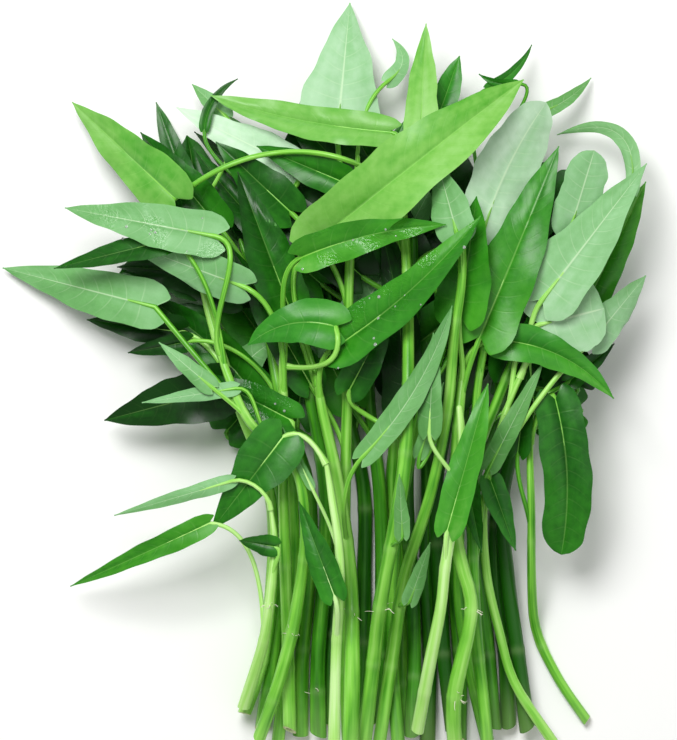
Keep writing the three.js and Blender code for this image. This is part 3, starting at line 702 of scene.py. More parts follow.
stemShape = {
    "sides": 14,
    "ringStep": 6,
    "leastRingStep": 0.45,
    "air": 0.1,  # between the stem and what it lies on
    "ringsAtNode": (-4, -2.4, -1.3, -0.5, 0.5, 1.3, 2.4, 4),
    "nodeSwell": 0.06,  # how much thicker a joint of the stem is
    "nodeHalfLength": 2,
    "firstNode": (20, 50),  # above the foot
    "bareNodeGap": (46, 98),  # between the joints of the bare lower stem
    "leastNodeGap": 26,
    "bareTip": 40,
    "wobble": 0.03,
    "wobbleLengths": (11, 27),
    "cutTilt": (4, 36),  # degrees off square
    "hollowShare": 0.56,
    "hollowDepth": 8,
    "hollowNarrows": 0.9,
    "faceSinks": 0.15,
    "tipLength": 16,
    "tipShare": 0.5,
    "tipDome": ((0.8, 0.7), (0.45, 1.1)),  # of its rings, the size and how far on they are
    "tipEnd": 1.3,
    # front stems take the paler tones; the back stems, low in the heap, take darker ones as painted shade, on
    # top of each stem's own spread
    "frontTones": (0.35, 1),
    "backTonesInShade": (-0.35, 0.35),
}


def nodesOf(stem, rings, looks):  # its joints: at the leaves, where they show, and on down the stem
    nodes = stem["nodes"] + [lengthAtY(stem["line"], y) for y in rings]
    s = looks.uniform(*stemShape["firstNode"])
    while s < stem["total"] - stemShape["bareTip"]:
        if min(abs(s - n) for n in nodes) > stemShape["leastNodeGap"]:
            nodes.append(s)
        s += looks.uniform(*stemShape["bareNodeGap"])
    return sorted(nodes)


def stemCentres(stem, nodes, under):  # its middle line, with rings close together at the joints
    total, stations = stem["total"], stem["stations"]
    knots = set(np.linspace(0, total, int(total / stemShape["ringStep"]) + 1).round(2))
    for node in nodes:
        knots |= {round(node + apart, 2) for apart in stemShape["ringsAtNode"]}
    s = np.array(sorted(knot for knot in knots if 0 <= knot <= total))
    s = s[np.concatenate([[True], np.diff(s) > stemShape["leastRingStep"]])]
    plan = np.array([along(stem["line"], length)[0] for length in s])
    at, heights, radii = zip(*[(station["s"], station["z"], station["radius"]) for station in stations])
    z, radius = pchip(at, heights, s), np.interp(s, at, radii)
    push = np.maximum(0, under.clearOf(plan[:, 0], plan[:, 1], radius) + stemShape["air"] - z)
    push[z < radius * 1.15] = 0  # where it lies on the table
    z = z + spread(push, 3)
    return s, np.column_stack([plan, z]), radius


def growStem(skin, stem, nodes, s, centres, radius, tones, looks):
    total = stem["total"]
    phase = looks.uniform(0, 9)
    nearNode = np.max([np.exp(-(((s - n) / stemShape["nodeHalfLength"]) ** 2)) for n in nodes], 0)
    short, long = stemShape["wobbleLengths"]
    wobble = 1 + stemShape["wobble"] * (np.sin(s / short + phase) + np.sin(s / long + 2 * phase))
    toTip = np.clip((total - s) / stemShape["tipLength"], 0, 1)
    taper = stemShape["tipShare"] + (1 - stemShape["tipShare"]) * toTip ** 0.7
    radii = radius * (1 + stemShape["nodeSwell"] * nearNode) * wobble * taper
    rings, way, angle = tubeRings(centres, radii, stemShape["sides"])
    # a back stem's tone comes out darker, as painted shade, where it has none of its own
    tone, chance = looks.uniform(*tones), looks.random()
    tone = stem["tone"] = tone if stem["tone"] is None else stem["tone"]

    # the slanting cut at the foot, and the hollow in it
    tilt = math.tan(math.radians(looks.uniform(*stemShape["cutTilt"])))
    turn = looks.uniform(0, 2 * math.pi)
    foot = radii[0]
    hollow = foot * stemShape["hollowShare"]
    start, ahead = centres[0], way[0]
    spokes = (rings[0] - start) / foot
    toFront = np.cos(angle - turn)[:, None]
    # rims of the wall, its face a little sunk between them, and the floor of the hollow
    rimOuter = start + spokes * foot + ahead * tilt * foot * (1 + toFront)
    rimInner = start + spokes * hollow + ahead * tilt * (foot + hollow * toFront)
    middle = start + spokes * 0.5 * (foot + hollow) + ahead * tilt * (foot + 0.5 * (foot + hollow) * toFront)
    floor = spokes * hollow * stemShape["hollowNarrows"]
    deep = start + floor + ahead * (2 * tilt * foot + stemShape["hollowDepth"])
    rings[0] = rimOuter
    past = s > 2 * tilt * foot + 0.6  # the rings that the cut leaves
    past[0] = True
    rings, s, nearNode, centres = rings[past], s[past], nearNode[past], centres[past]

    look = lookOf(rings.shape[:2], tone, (s / total)[:, None], 0.5 * nearNode[:, None], chance)
    outer = skin.addPoints(rings, look)
    wrapAround(skin, outer, s, stemFinish)
    cutLook = (tone, 0, 0, chance)
    cut = skin.addPoints(np.stack([deep, rimInner, middle - ahead * stemShape["faceSinks"]]), cutLook)
    rim = np.concatenate([cut, outer[:1]])
    wrapAround(skin, rim, [3, 2, 1, 0], pithFinish)
    bottom = skin.addPoints(deep.mean(0)[None], cutLook)
    skin.addFan(bottom[0], cut[0], (0, 3), pithFinish, faceOn=False)

    # the tip
    end, last = centres[-1], rings[-1]
    dome = [end + (last - end) * size + way[-1] * step for size, step in stemShape["tipDome"]]
    tip = skin.addPoints(np.stack(dome), (tone, 1, 0, chance))
    wrapAround(skin, np.concatenate([outer[-1:], tip]), [total, total + 1, total + 2], stemFinish)
    top = skin.addPoints((end + way[-1] * stemShape["tipEnd"])[None], (tone, 1, 0, chance))
    skin.addFan(top[0], tip[-1], (0, total + 2), stemFinish)


bladeShape = {
    "veinSpacing": 7,
    "veins": (5, 18),  # least and most
    "rowsPerVein": 3,
    "lobeRows": (0.08, 0.22, 0.45, 0.7),  # extra rows before the second one
    "ribColumns": (0.8, 1.9),  # mm from the midrib
    "outerColumns": 5,
    "veinSweep": 0.5,  # how far a side vein runs forward on its way to the edge
    "veinRun": (0.45, 0.55, 2.4),  # it leaves the midrib steeply and bends to the tip
    "halfThick": 0.2,
    "rimHalfThick": 0.11,
    "veinDepth": 0.11,
    "ridge": 0.75,
    "wave": (0.5, 1.7),
    "waveLength": (20, 42),
    "fold": (0.02, 0.34),  # how steeply the halves rise from the midrib, or fall where the underside shows
    "twist": (-0.25, 0.25),  # how far one side is up on the other, at the tip
    "tipLift": (-1, 3.5),
    "ragged": 0.05,  # how far the outline wanders, as a share of its width
    "slowWander": (9, 14),
    "quickWander": (22, 34),
    "swell": (-0.02, 0.14),  # how far each half domes up, as a share of its width
    "underRise": 0.7,
    "tipHalf": 0.3,
    # share of the length, then share of the half width on a slender and on a full leaf
    "outline": [
        (0, 0.5, 0.52), (0.03, 0.8, 0.78), (0.07, 0.95, 0.89), (0.12, 1, 0.95),
        (0.38, 0.8, 1), (0.68, 0.45, 0.78), (0.88, 0.17, 0.42), (1, 0, 0),
    ],
}
gap = 0.12  # air between the finer surfaces


def bezierLine(points, t):  # places on the curve, and the way it runs there
    points = np.array(points, float)
    t = np.asarray(t, float)[..., None]
    if len(points) == 3:
        a, b, c = points
        at = (1 - t) ** 2 * a + 2 * t * (1 - t) * b + t * t * c
        return at, unit(2 * (1 - t) * (b - a) + 2 * t * (c - b) + 1e-9)
    a, b, c, d = points
    at = (1 - t) ** 3 * a + 3 * t * (1 - t) ** 2 * b + 3 * t * t * (1 - t) * c + t**3 * d
    return at, unit(3 * (1 - t) ** 2 * (b - a) + 6 * t * (1 - t) * (c - b) + 3 * t * t * (d - c) + 1e-9)


def halfWidth(leaf, t):  # of a blade, at each share of its length
    shares, slender, full = zip(*bladeShape["outline"])
    fullness = leaf.get("full", bunch["fullness"])
    shape = pchip(shares, slender, t) * (1 - fullness) + pchip(shares, full, t) * fullness
    if "blunt" in leaf:
        blunt = pchip([0, 0.4, 1], [0, 0, leaf["blunt"]], t)
        shape = (shape + blunt) * np.sqrt(np.clip(1 - (np.clip(t - 0.9, 0, 1) / 0.1) ** 2, 0.001, 1))
    return np.maximum(0.5 * leaf["wide"] * shape, bladeShape["tipHalf"])


def finer(grid, times):  # a grid of values with more rows and columns between
    for axis in (0, 1):
        grid = np.moveaxis(grid, axis, 0)
        at = np.linspace(0, len(grid) - 1, (len(grid) - 1) * times + 1)
        low = np.minimum(at.astype(int), len(grid) - 2)
        t = (at - low).reshape((-1,) + (1,) * (grid.ndim - 1))
        grid = np.moveaxis(grid[low] * (1 - t) + grid[low + 1] * t, 0, axis)
    return grid


def growBlade(skin, laidLeaf, heap, looks):
    leaf, spans, (lineS, lineZ) = laidLeaf["leaf"], laidLeaf["spans"], laidLeaf["line"]
    length, isUpper = laidLeaf["length"], leaf["face"] == "upper"
    fewest, most = bladeShape["veins"]
    veins = max(fewest, min(most, round(length / bladeShape["veinSpacing"])))
    # rows start at v on the midrib and end at t on the edge, and q is 1 at the left edge and -1 at the right
    v = np.linspace(0, 1, veins * bladeShape["rowsPerVein"] + 1)
    isVein = np.arange(len(v)) % bladeShape["rowsPerVein"] == 0
    v = np.insert(v, 1, v[1] * np.array(bladeShape["lobeRows"]))
    isVein = np.insert(isVein, 1, [False] * len(bladeShape["lobeRows"]))[:, None]
    t = v + bladeShape["veinSweep"] * v * (1 - v)
    half = halfWidth(leaf, t)
    ragged = bladeShape["ragged"] * np.clip(np.minimum(t, 1 - t) * 8, 0, 1)
    wander = []
    for _ in range(2):
        slow = np.sin(looks.uniform(*bladeShape["slowWander"]) * t + looks.uniform(0, 6))
        quick = np.sin(looks.uniform(*bladeShape["quickWander"]) * t)
        wander.append(1 + ragged * (slow + 0.5 * quick))
    first, second = bladeShape["ribColumns"]
    near = np.stack([0 * half, np.minimum(first / half, 0.2), np.minimum(second / half, 0.4)], 1)
    far = np.linspace(0, 1, bladeShape["outerColumns"] + 1)[1:]
    side = np.concatenate([near, near[:, 2:] + (1 - near[:, 2:]) * far], 1)
    q = np.concatenate([side[:, ::-1], -side[:, 1:]], 1)
    out = abs(q)
    reachOut = half[:, None] * np.where(q > 0, wander[0][:, None], wander[1][:, None])
    even, bent, power = bladeShape["veinRun"]
    forward = even * out + bent * out**power
    x = v[:, None] * (1 - forward) + t[:, None] * forward
    rib, way = bezierLine(laidLeaf["rib"], x)
    left = np.stack([-way[..., 1], way[..., 0]], 2)
    # the lobes hang back beside the stalk, and turn in at their edges
    swept = laidLeaf["lobe"] * np.clip(1 - t / bunch["sweptShare"], 0, 1) ** 2
    lobes = swept[:, None] * (1.3 * out**1.15 - 0.4 * out**5)
    plan = rib + left * (q * reachOut)[..., None] - way * lobes[..., None]

    # as it was laid, then its own fold, twist and lift
    shares = [share for share, _, _ in bladeStations]
    z = pchip(lineS, lineZ, np.interp(x, shares, lineS[spans + 1:]))
    away = out * half[:, None]
    slopes = np.where(q > 0, laidLeaf["slopes"]["left"], laidLeaf["slopes"]["right"])
    z = z + slopes * away
    fold = looks.uniform(*bladeShape["fold"])
    if isUpper:
        z = z + fold * away * np.clip(1.4 - x, 0, 1)
    else:
        z = z + bladeShape["underRise"] * fold * (half[:, None] - away) * np.clip(6 * x, 0, 1)
    z = z + looks.uniform(*bladeShape["twist"]) * q * half[:, None] * np.clip(1.3 * x - 0.3, 0, 1)
    z = z + looks.uniform(*bladeShape["tipLift"]) * np.clip(2 * x - 1, 0, 1) ** 2

    # margins wave, side veins sink or stand out, and the blade between them swells a little
    phases = looks.uniform(0, 6), looks.uniform(0, 6)
    waveLength = looks.uniform(*bladeShape["waveLength"])
    reach = np.minimum(1, half / 9)[:, None] * looks.uniform(*bladeShape["wave"])
    phase = np.where(q > 0, phases[0], phases[1])
    z = z + reach * out**2.2 * np.sin(2 * math.pi * x * length / waveLength + phase)
    swell = looks.uniform(*bladeShape["swell"])
    z = z + swell * half[:, None] * np.sin(math.pi * out**0.8)
    deep = bladeShape["veinDepth"] * np.minimum(1, half / 7)[:, None] * (1 - 0.6 * out)
    z = z + np.where(isVein, -deep, 0.4 * deep) * (1 if isUpper else -2)

    # off what lies below
    clear = heap.clearOf(plan[..., 0].ravel(), plan[..., 1].ravel(), 0).reshape(z.shape)
    ridge = bladeShape["ridge"] * (1 - x) * min(1, leaf["wide"] / 18) + 0.1
    ridge = ridge * np.interp(away, [0, first, second], [1, 0.35, 0])
    need = clear + gap + bladeShape["halfThick"] + (ridge if isUpper else 0)
    push = spread(np.maximum(0, need - z), 2)
    z = z + push

    # both faces, and the edge between them
    thick = bladeShape["halfThick"] + (bladeShape["rimHalfThick"] - bladeShape["halfThick"]) * out**3
    thick = thick * np.sqrt(1 + slopes**2)
    groove = 0.4 * ridge
    above = thick + (-groove if isUpper else ridge)
    below = thick + (ridge if isUpper else -groove)
    chance = looks.random()
    look = lookOf(z.shape, leaf["tone"], x, leaf.get("wet", 0), chance)
    top = skin.addPoints(np.concatenate([plan, (z + above)[..., None]], 2), look)
    low = skin.addPoints(np.concatenate([plan, (z - below)[..., None]], 2), look)
    places = np.stack([q, np.broadcast_to((v * veins)[:, None], q.shape)], 2)
    upper, under = (upperFinish, underFinish) if isUpper else (underFinish, upperFinish)
    skin.addGrid(top, places, upper)
    skin.addGrid(low, places, under, faceUp=False)
    for a, b, place in (
        (top[:, 0], low[:, 0], places[:, 0]),
        (top[-1], low[-1], places[-1]),
        (top[::-1, -1], low[::-1, -1], places[::-1, -1]),
        (top[0, ::-1], low[0, ::-1], places[0, ::-1]),
    ):
        skin.addGrid(np.stack([a, b], 1), np.stack([place, place], 1), upper, faceUp=False)

    dense = finer(np.concatenate([plan, (z + np.maximum(above, 0.1))[..., None]], 2), 5).reshape(-1, 3)
    if leaf.get("wet"):
        wetTops.append((np.concatenate([plan, (z + above)[..., None]], 2), leaf["wet"]))
    centre = q.shape[1] // 2
    return (x[:, centre], z[:, centre], push[:, centre]), (*dense.T, 0)


stalkShape = {
    "sides": 10,
    "step": 3.5,
    "rootSwell": 0.55,
    "rootLength": 2.4,
    "besideRoot": 6,  # how far from its root it may touch its own stem
    "thinnest": 0.62,  # of a narrow leaf's stalk, as a share of the widest ones
    "runOn": 0.3,  # how far it runs on as the midrib, as a share of the blade
    "endRadius": 0.35,
    "sink": {"upper": -0.85, "under": 0.35},  # of that midrib below or above the blade, in radii
    "leastTone": 0.3,
    "toneOff": (-0.15, 0.15),
}


def growStalk(skin, laidLeaf, stemAtNode, stemTone, ribLine, under, heap, looks):
    leaf, spans, (lineS, lineZ) = laidLeaf["leaf"], laidLeaf["spans"], laidLeaf["line"]
    count = max(6, round(laidLeaf["stalkLength"] / stalkShape["step"]))
    u = np.linspace(0, 1, count + 1)  # along the stalk
    stalk, _ = bezierLine(laidLeaf["stalk"], u)
    start = stemAtNode[:2] - stalk[0]
    stalk = stalk + start * (np.clip(1 - u / 0.6, 0, 1) ** 2)[:, None]
    neck = laidLeaf["neckShare"]
    s = np.interp(u, np.append(neck * np.arange(spans + 1) / spans, 1), lineS[:spans + 2])
    z = pchip(lineS, lineZ, s)
    z = z + (stemAtNode[2] - z[0]) * np.clip(1 - u / 0.5, 0, 1) ** 2
    radius = bunch["stalkRadius"] * max(stalkShape["thinnest"], min(1, 0.55 + leaf["wide"] / 45))
    push = np.maximum(0, under.clearOf(stalk[:, 0], stalk[:, 1], radius) + gap - z)
    push[s < stalkShape["besideRoot"]] = 0
    x, ribZ, ribPush = ribLine
    push = np.maximum(spread(push, 3), ribPush[0] * np.clip((u - 0.4) / 0.6, 0, 1) ** 2)
    push += (ribPush[0] - push[-1]) * np.clip((u - 0.75) / 0.25, 0, 1) ** 2
    z = z + push

    # on under the blade as its midrib, or over it where the underside shows
    shares = np.linspace(0, stalkShape["runOn"], 8)[1:]
    onRib, _ = bezierLine(laidLeaf["rib"], shares)
    line = np.concatenate([
        np.column_stack([stalk, z]),
        np.column_stack([onRib, np.interp(shares, x, ribZ)]),
    ])
    run = np.concatenate([u * 0, shares / stalkShape["runOn"]])
    radii = radius + (stalkShape["endRadius"] - radius) * run**0.8
    ramp = np.concatenate([np.clip((u - 0.8) / 0.2, 0, 1), shares * 0 + 1])
    line[:, 2] += stalkShape["sink"][leaf["face"]] * radii * ramp
    length = np.concatenate([[0], np.cumsum(np.linalg.norm(np.diff(line, axis=0), axis=1))])
    fromRoot = np.maximum(0, length - 2) / stalkShape["rootLength"]
    radii = radii * (1 + stalkShape["rootSwell"] * np.exp(-(fromRoot**2)))
    rings, way, _ = tubeRings(line, radii, stalkShape["sides"])
    # a stalk follows its stem's tone, so it carries a back stem's painted shade too
    tone = max(stalkShape["leastTone"], stemTone + looks.uniform(*stalkShape["toneOff"]))
    share = (0.6 + 0.3 * length / length[-1])[:, None]
    look = lookOf(rings.shape[:2], tone, share, run[:, None] ** 0.5, looks.random())
    index = skin.addPoints(rings, look)
    wrapAround(skin, index, length, stemFinish)
    caps = skin.addPoints(np.stack([line[0], line[-1] + way[-1] * 0.4]), look[0, 0])
    skin.addFan(caps[0], index[0], (0, 0), stemFinish, faceOn=False)
    skin.addFan(caps[1], index[-1], (0, length[-1]), stemFinish)
    seen = slice(1, len(u))
    heap.raiseTo(line[seen, 0], line[seen, 1], line[seen, 2], radii[seen])


# joints that show in the bare stems in front, as place in frontStems and y
frontRings = {8: [-117.5, -160], 10: [-115], 12: [-119], 14: [-130], 16: [-115]}
rootletRule = {"atShown": 5, "atOthers": 2, "chance": 0.07, "lowerShare": 0.4}  # how many, and where

wetTops, skins, rootSpots = [], [], []
looks = random.Random(4)
fineHeap = Heap(1)
for place, (stem, leaves) in enumerate(laid):
    skin, under = Skin(), fineHeap.copy()
    others = under.copy()  # what lies below, with the other leaves of this stem but not the stem itself
    inFront = place - len(backStems["feet"])
    rings = frontRings.get(inFront, [])
    nodes = nodesOf(stem, rings, looks)
    s, centres, radius = stemCentres(stem, nodes, under)
    # a back stem draws from the darker tones, painted shade of what lies over it
    tones = stemShape["frontTones" if inFront >= 0 else "backTonesInShade"]
    growStem(skin, stem, nodes, s, centres, radius, tones, looks)
    fineHeap.raiseTo(*finer(np.column_stack([centres, radius])[:, None].repeat(2, 1), 4)[:, 0].T)
    for laidLeaf in leaves:
        atNode = placeAt(centres, s, laidLeaf["s"])
        ribLine, top = growBlade(skin, laidLeaf, fineHeap, looks)
        below = others if laidLeaf["leaf"].get("over") else under
        growStalk(skin, laidLeaf, atNode, stem["tone"], ribLine, below, fineHeap, looks)
        fineHeap.raiseTo(*top)
        others.raiseTo(*top)
    skins.append(skin)
    for node in nodes:
        shown = any(abs(node - lengthAtY(stem["line"], y)) < 1 for y in rings)
        isLow = node < rootletRule["lowerShare"] * stem["total"]
        if shown or (isLow and looks.random() < rootletRule["chance"]):
            count = rootletRule["atShown" if shown else "atOthers"]
            rootSpots.append((placeAt(centres, s, node), np.interp(node, s, radius), count))
faceCount = sum(len(skin.faces) for skin in skins)
print("grew", faceCount, "faces, top of the heap at", round(fineHeap.height.max(), 1))


# Finishes


def fromHex(text):  # an sRGB colour as the linear one that shaders take
    parts = [int(text[i:i + 2], 16) / 255 for i in (1, 3, 5)]
    return tuple(c / 12.92 if c <= 0.04045 else ((c + 0.055) / 1.055) ** 2.4 for c in parts) + (1,)


# Links are a row, for the first inputs, or a dictionary by name or place. A node stands for its first output.
def addNode(tree, kind, links=(), **settings):
    made = tree.nodes.new(kind)
    for name, value in settings.items():
        setattr(made, name, value)
    for key, value in links.items() if isinstance(links, dict) else enumerate(links):
        value = value.outputs[0] if isinstance(value, bpy.types.Node) else value
        if isinstance(value, bpy.types.NodeSocket):
            tree.links.new(value, made.inputs[key])
        else:
            made.inputs[key].default_value = value
    return made


smoothly = {"interpolation_type": "SMOOTHSTEP"}


def newMaterial(name):
    material = bpy.data.materials.new(name)
    material.use_nodes = True
    material.node_tree.nodes.clear()
    return material, partial(addNode, material.node_tree)


def setStops(made, stops):  # the colours of a ramp
    elements = made.color_ramp.elements
    while len(elements) < len(stops):
        elements.new(1)
    for element, (place, colour) in zip(elements, stops):
        element.position, element.color = place, fromHex(colour)
    return made


def finishOff(add, colour, roughness, height, bump, specular=0.5):  # ends the tree of a material
    normal = add("ShaderNodeBump", {"Height": height, "Strength": bump, "Distance": 0.4 * mm})
    surface = add("ShaderNodeBsdfPrincipled", {
        "Base Color": colour, "Roughness": roughness, "Normal": normal, "Specular IOR Level": specular,
    })
    add("ShaderNodeOutputMaterial", (surface,))


def skinParts(add):  # what each corner of a skin knows of its leaf or stem, and where it is
    look = add("ShaderNodeAttribute", attribute_name="leafLook")
    parts = add("ShaderNodeSeparateColor", (look.outputs["Color"],)).outputs
    xy = add("ShaderNodeSeparateXYZ", (add("ShaderNodeUVMap", uv_map="skinUV"),)).outputs
    where = add("ShaderNodeTexCoord").outputs["Object"]
    return parts[0], parts[1], parts[2], look.outputs["Alpha"], xy[0], xy[1], where


upperLook = {
    "tones": [
        (0, "#083a02"), (0.15, "#145806"), (0.35, "#2f8416"),
        (0.55, "#4aa024"), (0.72, "#7dbd52"), (1, "#a8d886"),
    ],
    "cool": "#318a3c",  # each leaf has its own share of this bluer green
    "coolShare": 0.2,
    "vein": "#9fd674",
    "veinStrength": 0.1,
    "midrib": 3.6,  # how much clearer than the side veins
    "patchiness": 0.34,
    "roughness": 0.36,
    "wetRoughness": 0.14,
    "bump": 0.35,
    "specular": 0.32,
}
underLook = {
    "tones": [(0, "#3d7d2f"), (0.35, "#66a557"), (0.6, "#8ac083"), (0.8, "#aed4ab"), (1, "#d4eed2")],
    "cool": "#8cc49a",
    "coolShare": 0.15,
    "vein": "#d8efc8",
    "veinStrength": 0.18,
    "midrib": 2.8,
    "patchiness": 0.36,
    "roughness": 0.5,
    "wetRoughness": 0.18,
    "bump": 0.35,
    "specular": 0.25,
}
leafVeins = {
    "side": (0.015, 0.06),  # half widths of a side vein's middle and of its edge, in spacings
    "midrib": (0.012, 0.05),  # the same of the midrib, in half widths of the leaf
    "toRim": (0.2, 1, 1, 0.25),  # side veins fade from a fifth of the way out, to a quarter
    "netCell": 1.9,  # mm between the finest veins, drawn coarser than the real 0.5 mm so that they show
    "net": (0, 0.12, 0.12, 0),
    "paleTone": 0.5,  # veins show in full from this tone on
    "inDark": (0.25, 0.5),  # what is left of the fine veins and of the midrib in a dark leaf
}
leafShades = {
    "base": (0, 0.3, 0.07, 0),  # paler by 0.07 at the base, which fades out by 0.3 of the length
    # darker on the side veins and paler between them: painted shade in the vein grooves and painted light on
    # the swells
    "quiltShading": (0, 0.5, -0.01, 0.01),
    # the spread of a leaf's own draw, from which place to which, and how much it may pale or darken
    "tip": (7.3, 0, 1, 0.16),
    # one half paler and the other darker: painted light and shade, as on halves tilted apart
    "halves": (3.7, -0.1, 0.1, 0.09),
    "coolSpread": 5.1,
    "coolTones": (0.1, 0.4),  # the cool tint comes in between these
    "grainShare": 0.2,
}
leafGrain = {
    "grain": 4.8,  # mm
    "film": 17,  # mm, the size of the patches of a film of water
    "ripple": 1.4,  # mm, how finely the film is broken up
    "filmEdge": (-0.02, 0.1),
    "rippleHeight": 4,
    "veinHeight": -0.3,
    "roughShare": 0.2,
    "stretch": (1.6, 0.13, 30),  # patches to a half width and to a side vein, and steps from leaf to leaf
}


def leafMaterial(name, look):
    material, add = newMaterial(name)
    tone, share, wet, chance, across, onward, where = skinParts(add)

    # the midrib, the side veins and the fine net, all fainter in a dark leaf
    out = add("ShaderNodeMath", (across,), operation="ABSOLUTE")
    toVein = add("ShaderNodeMath", (onward, 0.5), operation="PINGPONG")
    onVein = add("ShaderNodeMapRange", (toVein, *leafVeins["side"], 1, 0), **smoothly)
    toRim = add("ShaderNodeMapRange", (out, *leafVeins["toRim"]), **smoothly)
    sideVein = add("ShaderNodeMath", (onVein, toRim), operation="MULTIPLY")
    cells = {"Vector": where, "Scale": 1 / (leafVeins["netCell"] * mm)}
    edges = add("ShaderNodeTexVoronoi", cells, feature="DISTANCE_TO_EDGE")
    net = add("ShaderNodeMapRange", (edges, *leafVeins["net"]), **smoothly)
    fine = add("ShaderNodeMath", (sideVein, net), operation="MAXIMUM")
    pale, (fineLeft, ribLeft) = leafVeins["paleTone"], leafVeins["inDark"]
    fineTone = add("ShaderNodeMapRange", (tone, 0, pale, fineLeft, 1), **smoothly)
    fine = add("ShaderNodeMath", (fine, fineTone), operation="MULTIPLY")
    onRib = add("ShaderNodeMapRange", (out, *leafVeins["midrib"], 1, 0), **smoothly)
    ribTone = add("ShaderNodeMapRange", (tone, 0, pale, ribLeft * look["midrib"], look["midrib"]), **smoothly)
    rib = add("ShaderNodeMath", (onRib, ribTone), operation="MULTIPLY")
    veins = add("ShaderNodeMath", (fine, rib), operation="MAXIMUM")
    veins = add("ShaderNodeMath", (veins, look["veinStrength"]), operation="MULTIPLY")

    # noise about zero: patches that follow the leaf, and the others as they lie in the part
    onLeaf = add("ShaderNodeCombineXYZ", (across, onward, chance))
    lengthwise = add("ShaderNodeVectorMath", (onLeaf, leafGrain["stretch"]), operation="MULTIPLY")
    noises = []
    for vector, size, detail in (
        (lengthwise, 1, 3), (where, leafGrain["grain"] * mm, 3),
        (where, leafGrain["film"] * mm, 2), (where, leafGrain["ripple"] * mm, 3),
    ):
        noise = add("ShaderNodeTexNoise", {"Vector": vector, "Scale": 1 / size, "Detail": detail})
        noises.append(add("ShaderNodeMath", (noise, 0.5), operation="SUBTRACT"))
    patches, grain, film, ripples = noises

    # how pale each place is, painted light and shade included
    shade = tone
    for noise, amount in ((patches, look["patchiness"]), (grain, leafShades["grainShare"])):
        shade = add("ShaderNodeMath", (noise, amount, shade), operation="MULTIPLY_ADD")
    # a paler base, then painted shade along the side veins and painted light on the swells between them
    for place, lifts in ((share, leafShades["base"]), (toVein, leafShades["quiltShading"])):
        lift = add("ShaderNodeMapRange", (place, *lifts), **smoothly)
        shade = add("ShaderNodeMath", (shade, lift), operation="ADD")
    # each leaf pales or darkens towards its tip, and one half of it is painted lighter and the other darker,
    # as light and shade on halves tilted apart
    for place, (turns, start, end, amount) in ((share, leafShades["tip"]), (across, leafShades["halves"])):
        own = add("ShaderNodeMath", (chance, turns, -0.5), operation="MULTIPLY_ADD")
        own = add("ShaderNodeMath", (own, 0.5, -0.5), operation="WRAP")
        lift = add("ShaderNodeMapRange", (place, start, end, -amount, amount), **smoothly)
        shade = add("ShaderNodeMath", (own, lift, shade), operation="MULTIPLY_ADD")

    hue = add("ShaderNodeMath", (chance, leafShades["coolSpread"]), operation="MULTIPLY")
    hue = add("ShaderNodeMath", (hue,), operation="FRACT")
    hueTone = add("ShaderNodeMapRange", (tone, *leafShades["coolTones"], 0, look["coolShare"]), **smoothly)
    hue = add("ShaderNodeMath", (hue, hueTone), operation="MULTIPLY")
    colour = setStops(add("ShaderNodeValToRGB", (shade,)), look["tones"])
    for amount, tint in ((hue, look["cool"]), (veins, look["vein"])):
        colour = add("ShaderNodeMix", {0: amount, 6: colour, 7: fromHex(tint)}, data_type="RGBA").outputs[2]

    # a wet leaf glints where its film of water is broken up
    film = add("ShaderNodeMapRange", (film, *leafGrain["filmEdge"]), **smoothly)
    film = add("ShaderNodeMath", (wet, film), operation="MULTIPLY")
    ripples = add("ShaderNodeMath", (film, ripples), operation="MULTIPLY")
    roughness = add("ShaderNodeMapRange", (film, 0, 1, look["roughness"], look["wetRoughness"]), **smoothly)
    roughness = add("ShaderNodeMath", (grain, leafGrain["roughShare"], roughness), operation="MULTIPLY_ADD")
    height = grain
    for raised, amount in ((sideVein, leafGrain["veinHeight"]), (ripples, leafGrain["rippleHeight"])):
        height = add("ShaderNodeMath", (raised, amount, height), operation="MULTIPLY_ADD")
    finishOff(add, colour, roughness, height, look["bump"], look["specular"])
    return material


stemLook = {
    "tones": [(0, "#1a5a08"), (0.28, "#45981c"), (0.52, "#80cc44"), (0.78, "#aee876"), (1, "#cdf5a4")],
    "toneShare": (0.75, 0.12),  # how much a stem's own tone counts, and the least
    "foot": "#b5dc84",
    "footReach": (0, 0.12, 0.2, 0),  # a fifth of that colour at the cut, and none from 0.12 of the length on
    "joint": "#c9e6a0",
    "jointShare": 0.2,
    "stretch": (9, 0.02, 40),  # streaks to a turn and to a millimetre, and steps from stem to stem
    "streakiness": 0.9,
    "patch": 25,  # mm
    "patchiness": 0.4,
    "roughness": 0.32,
    "specular": 0.35,
    "bump": 0.25,
}


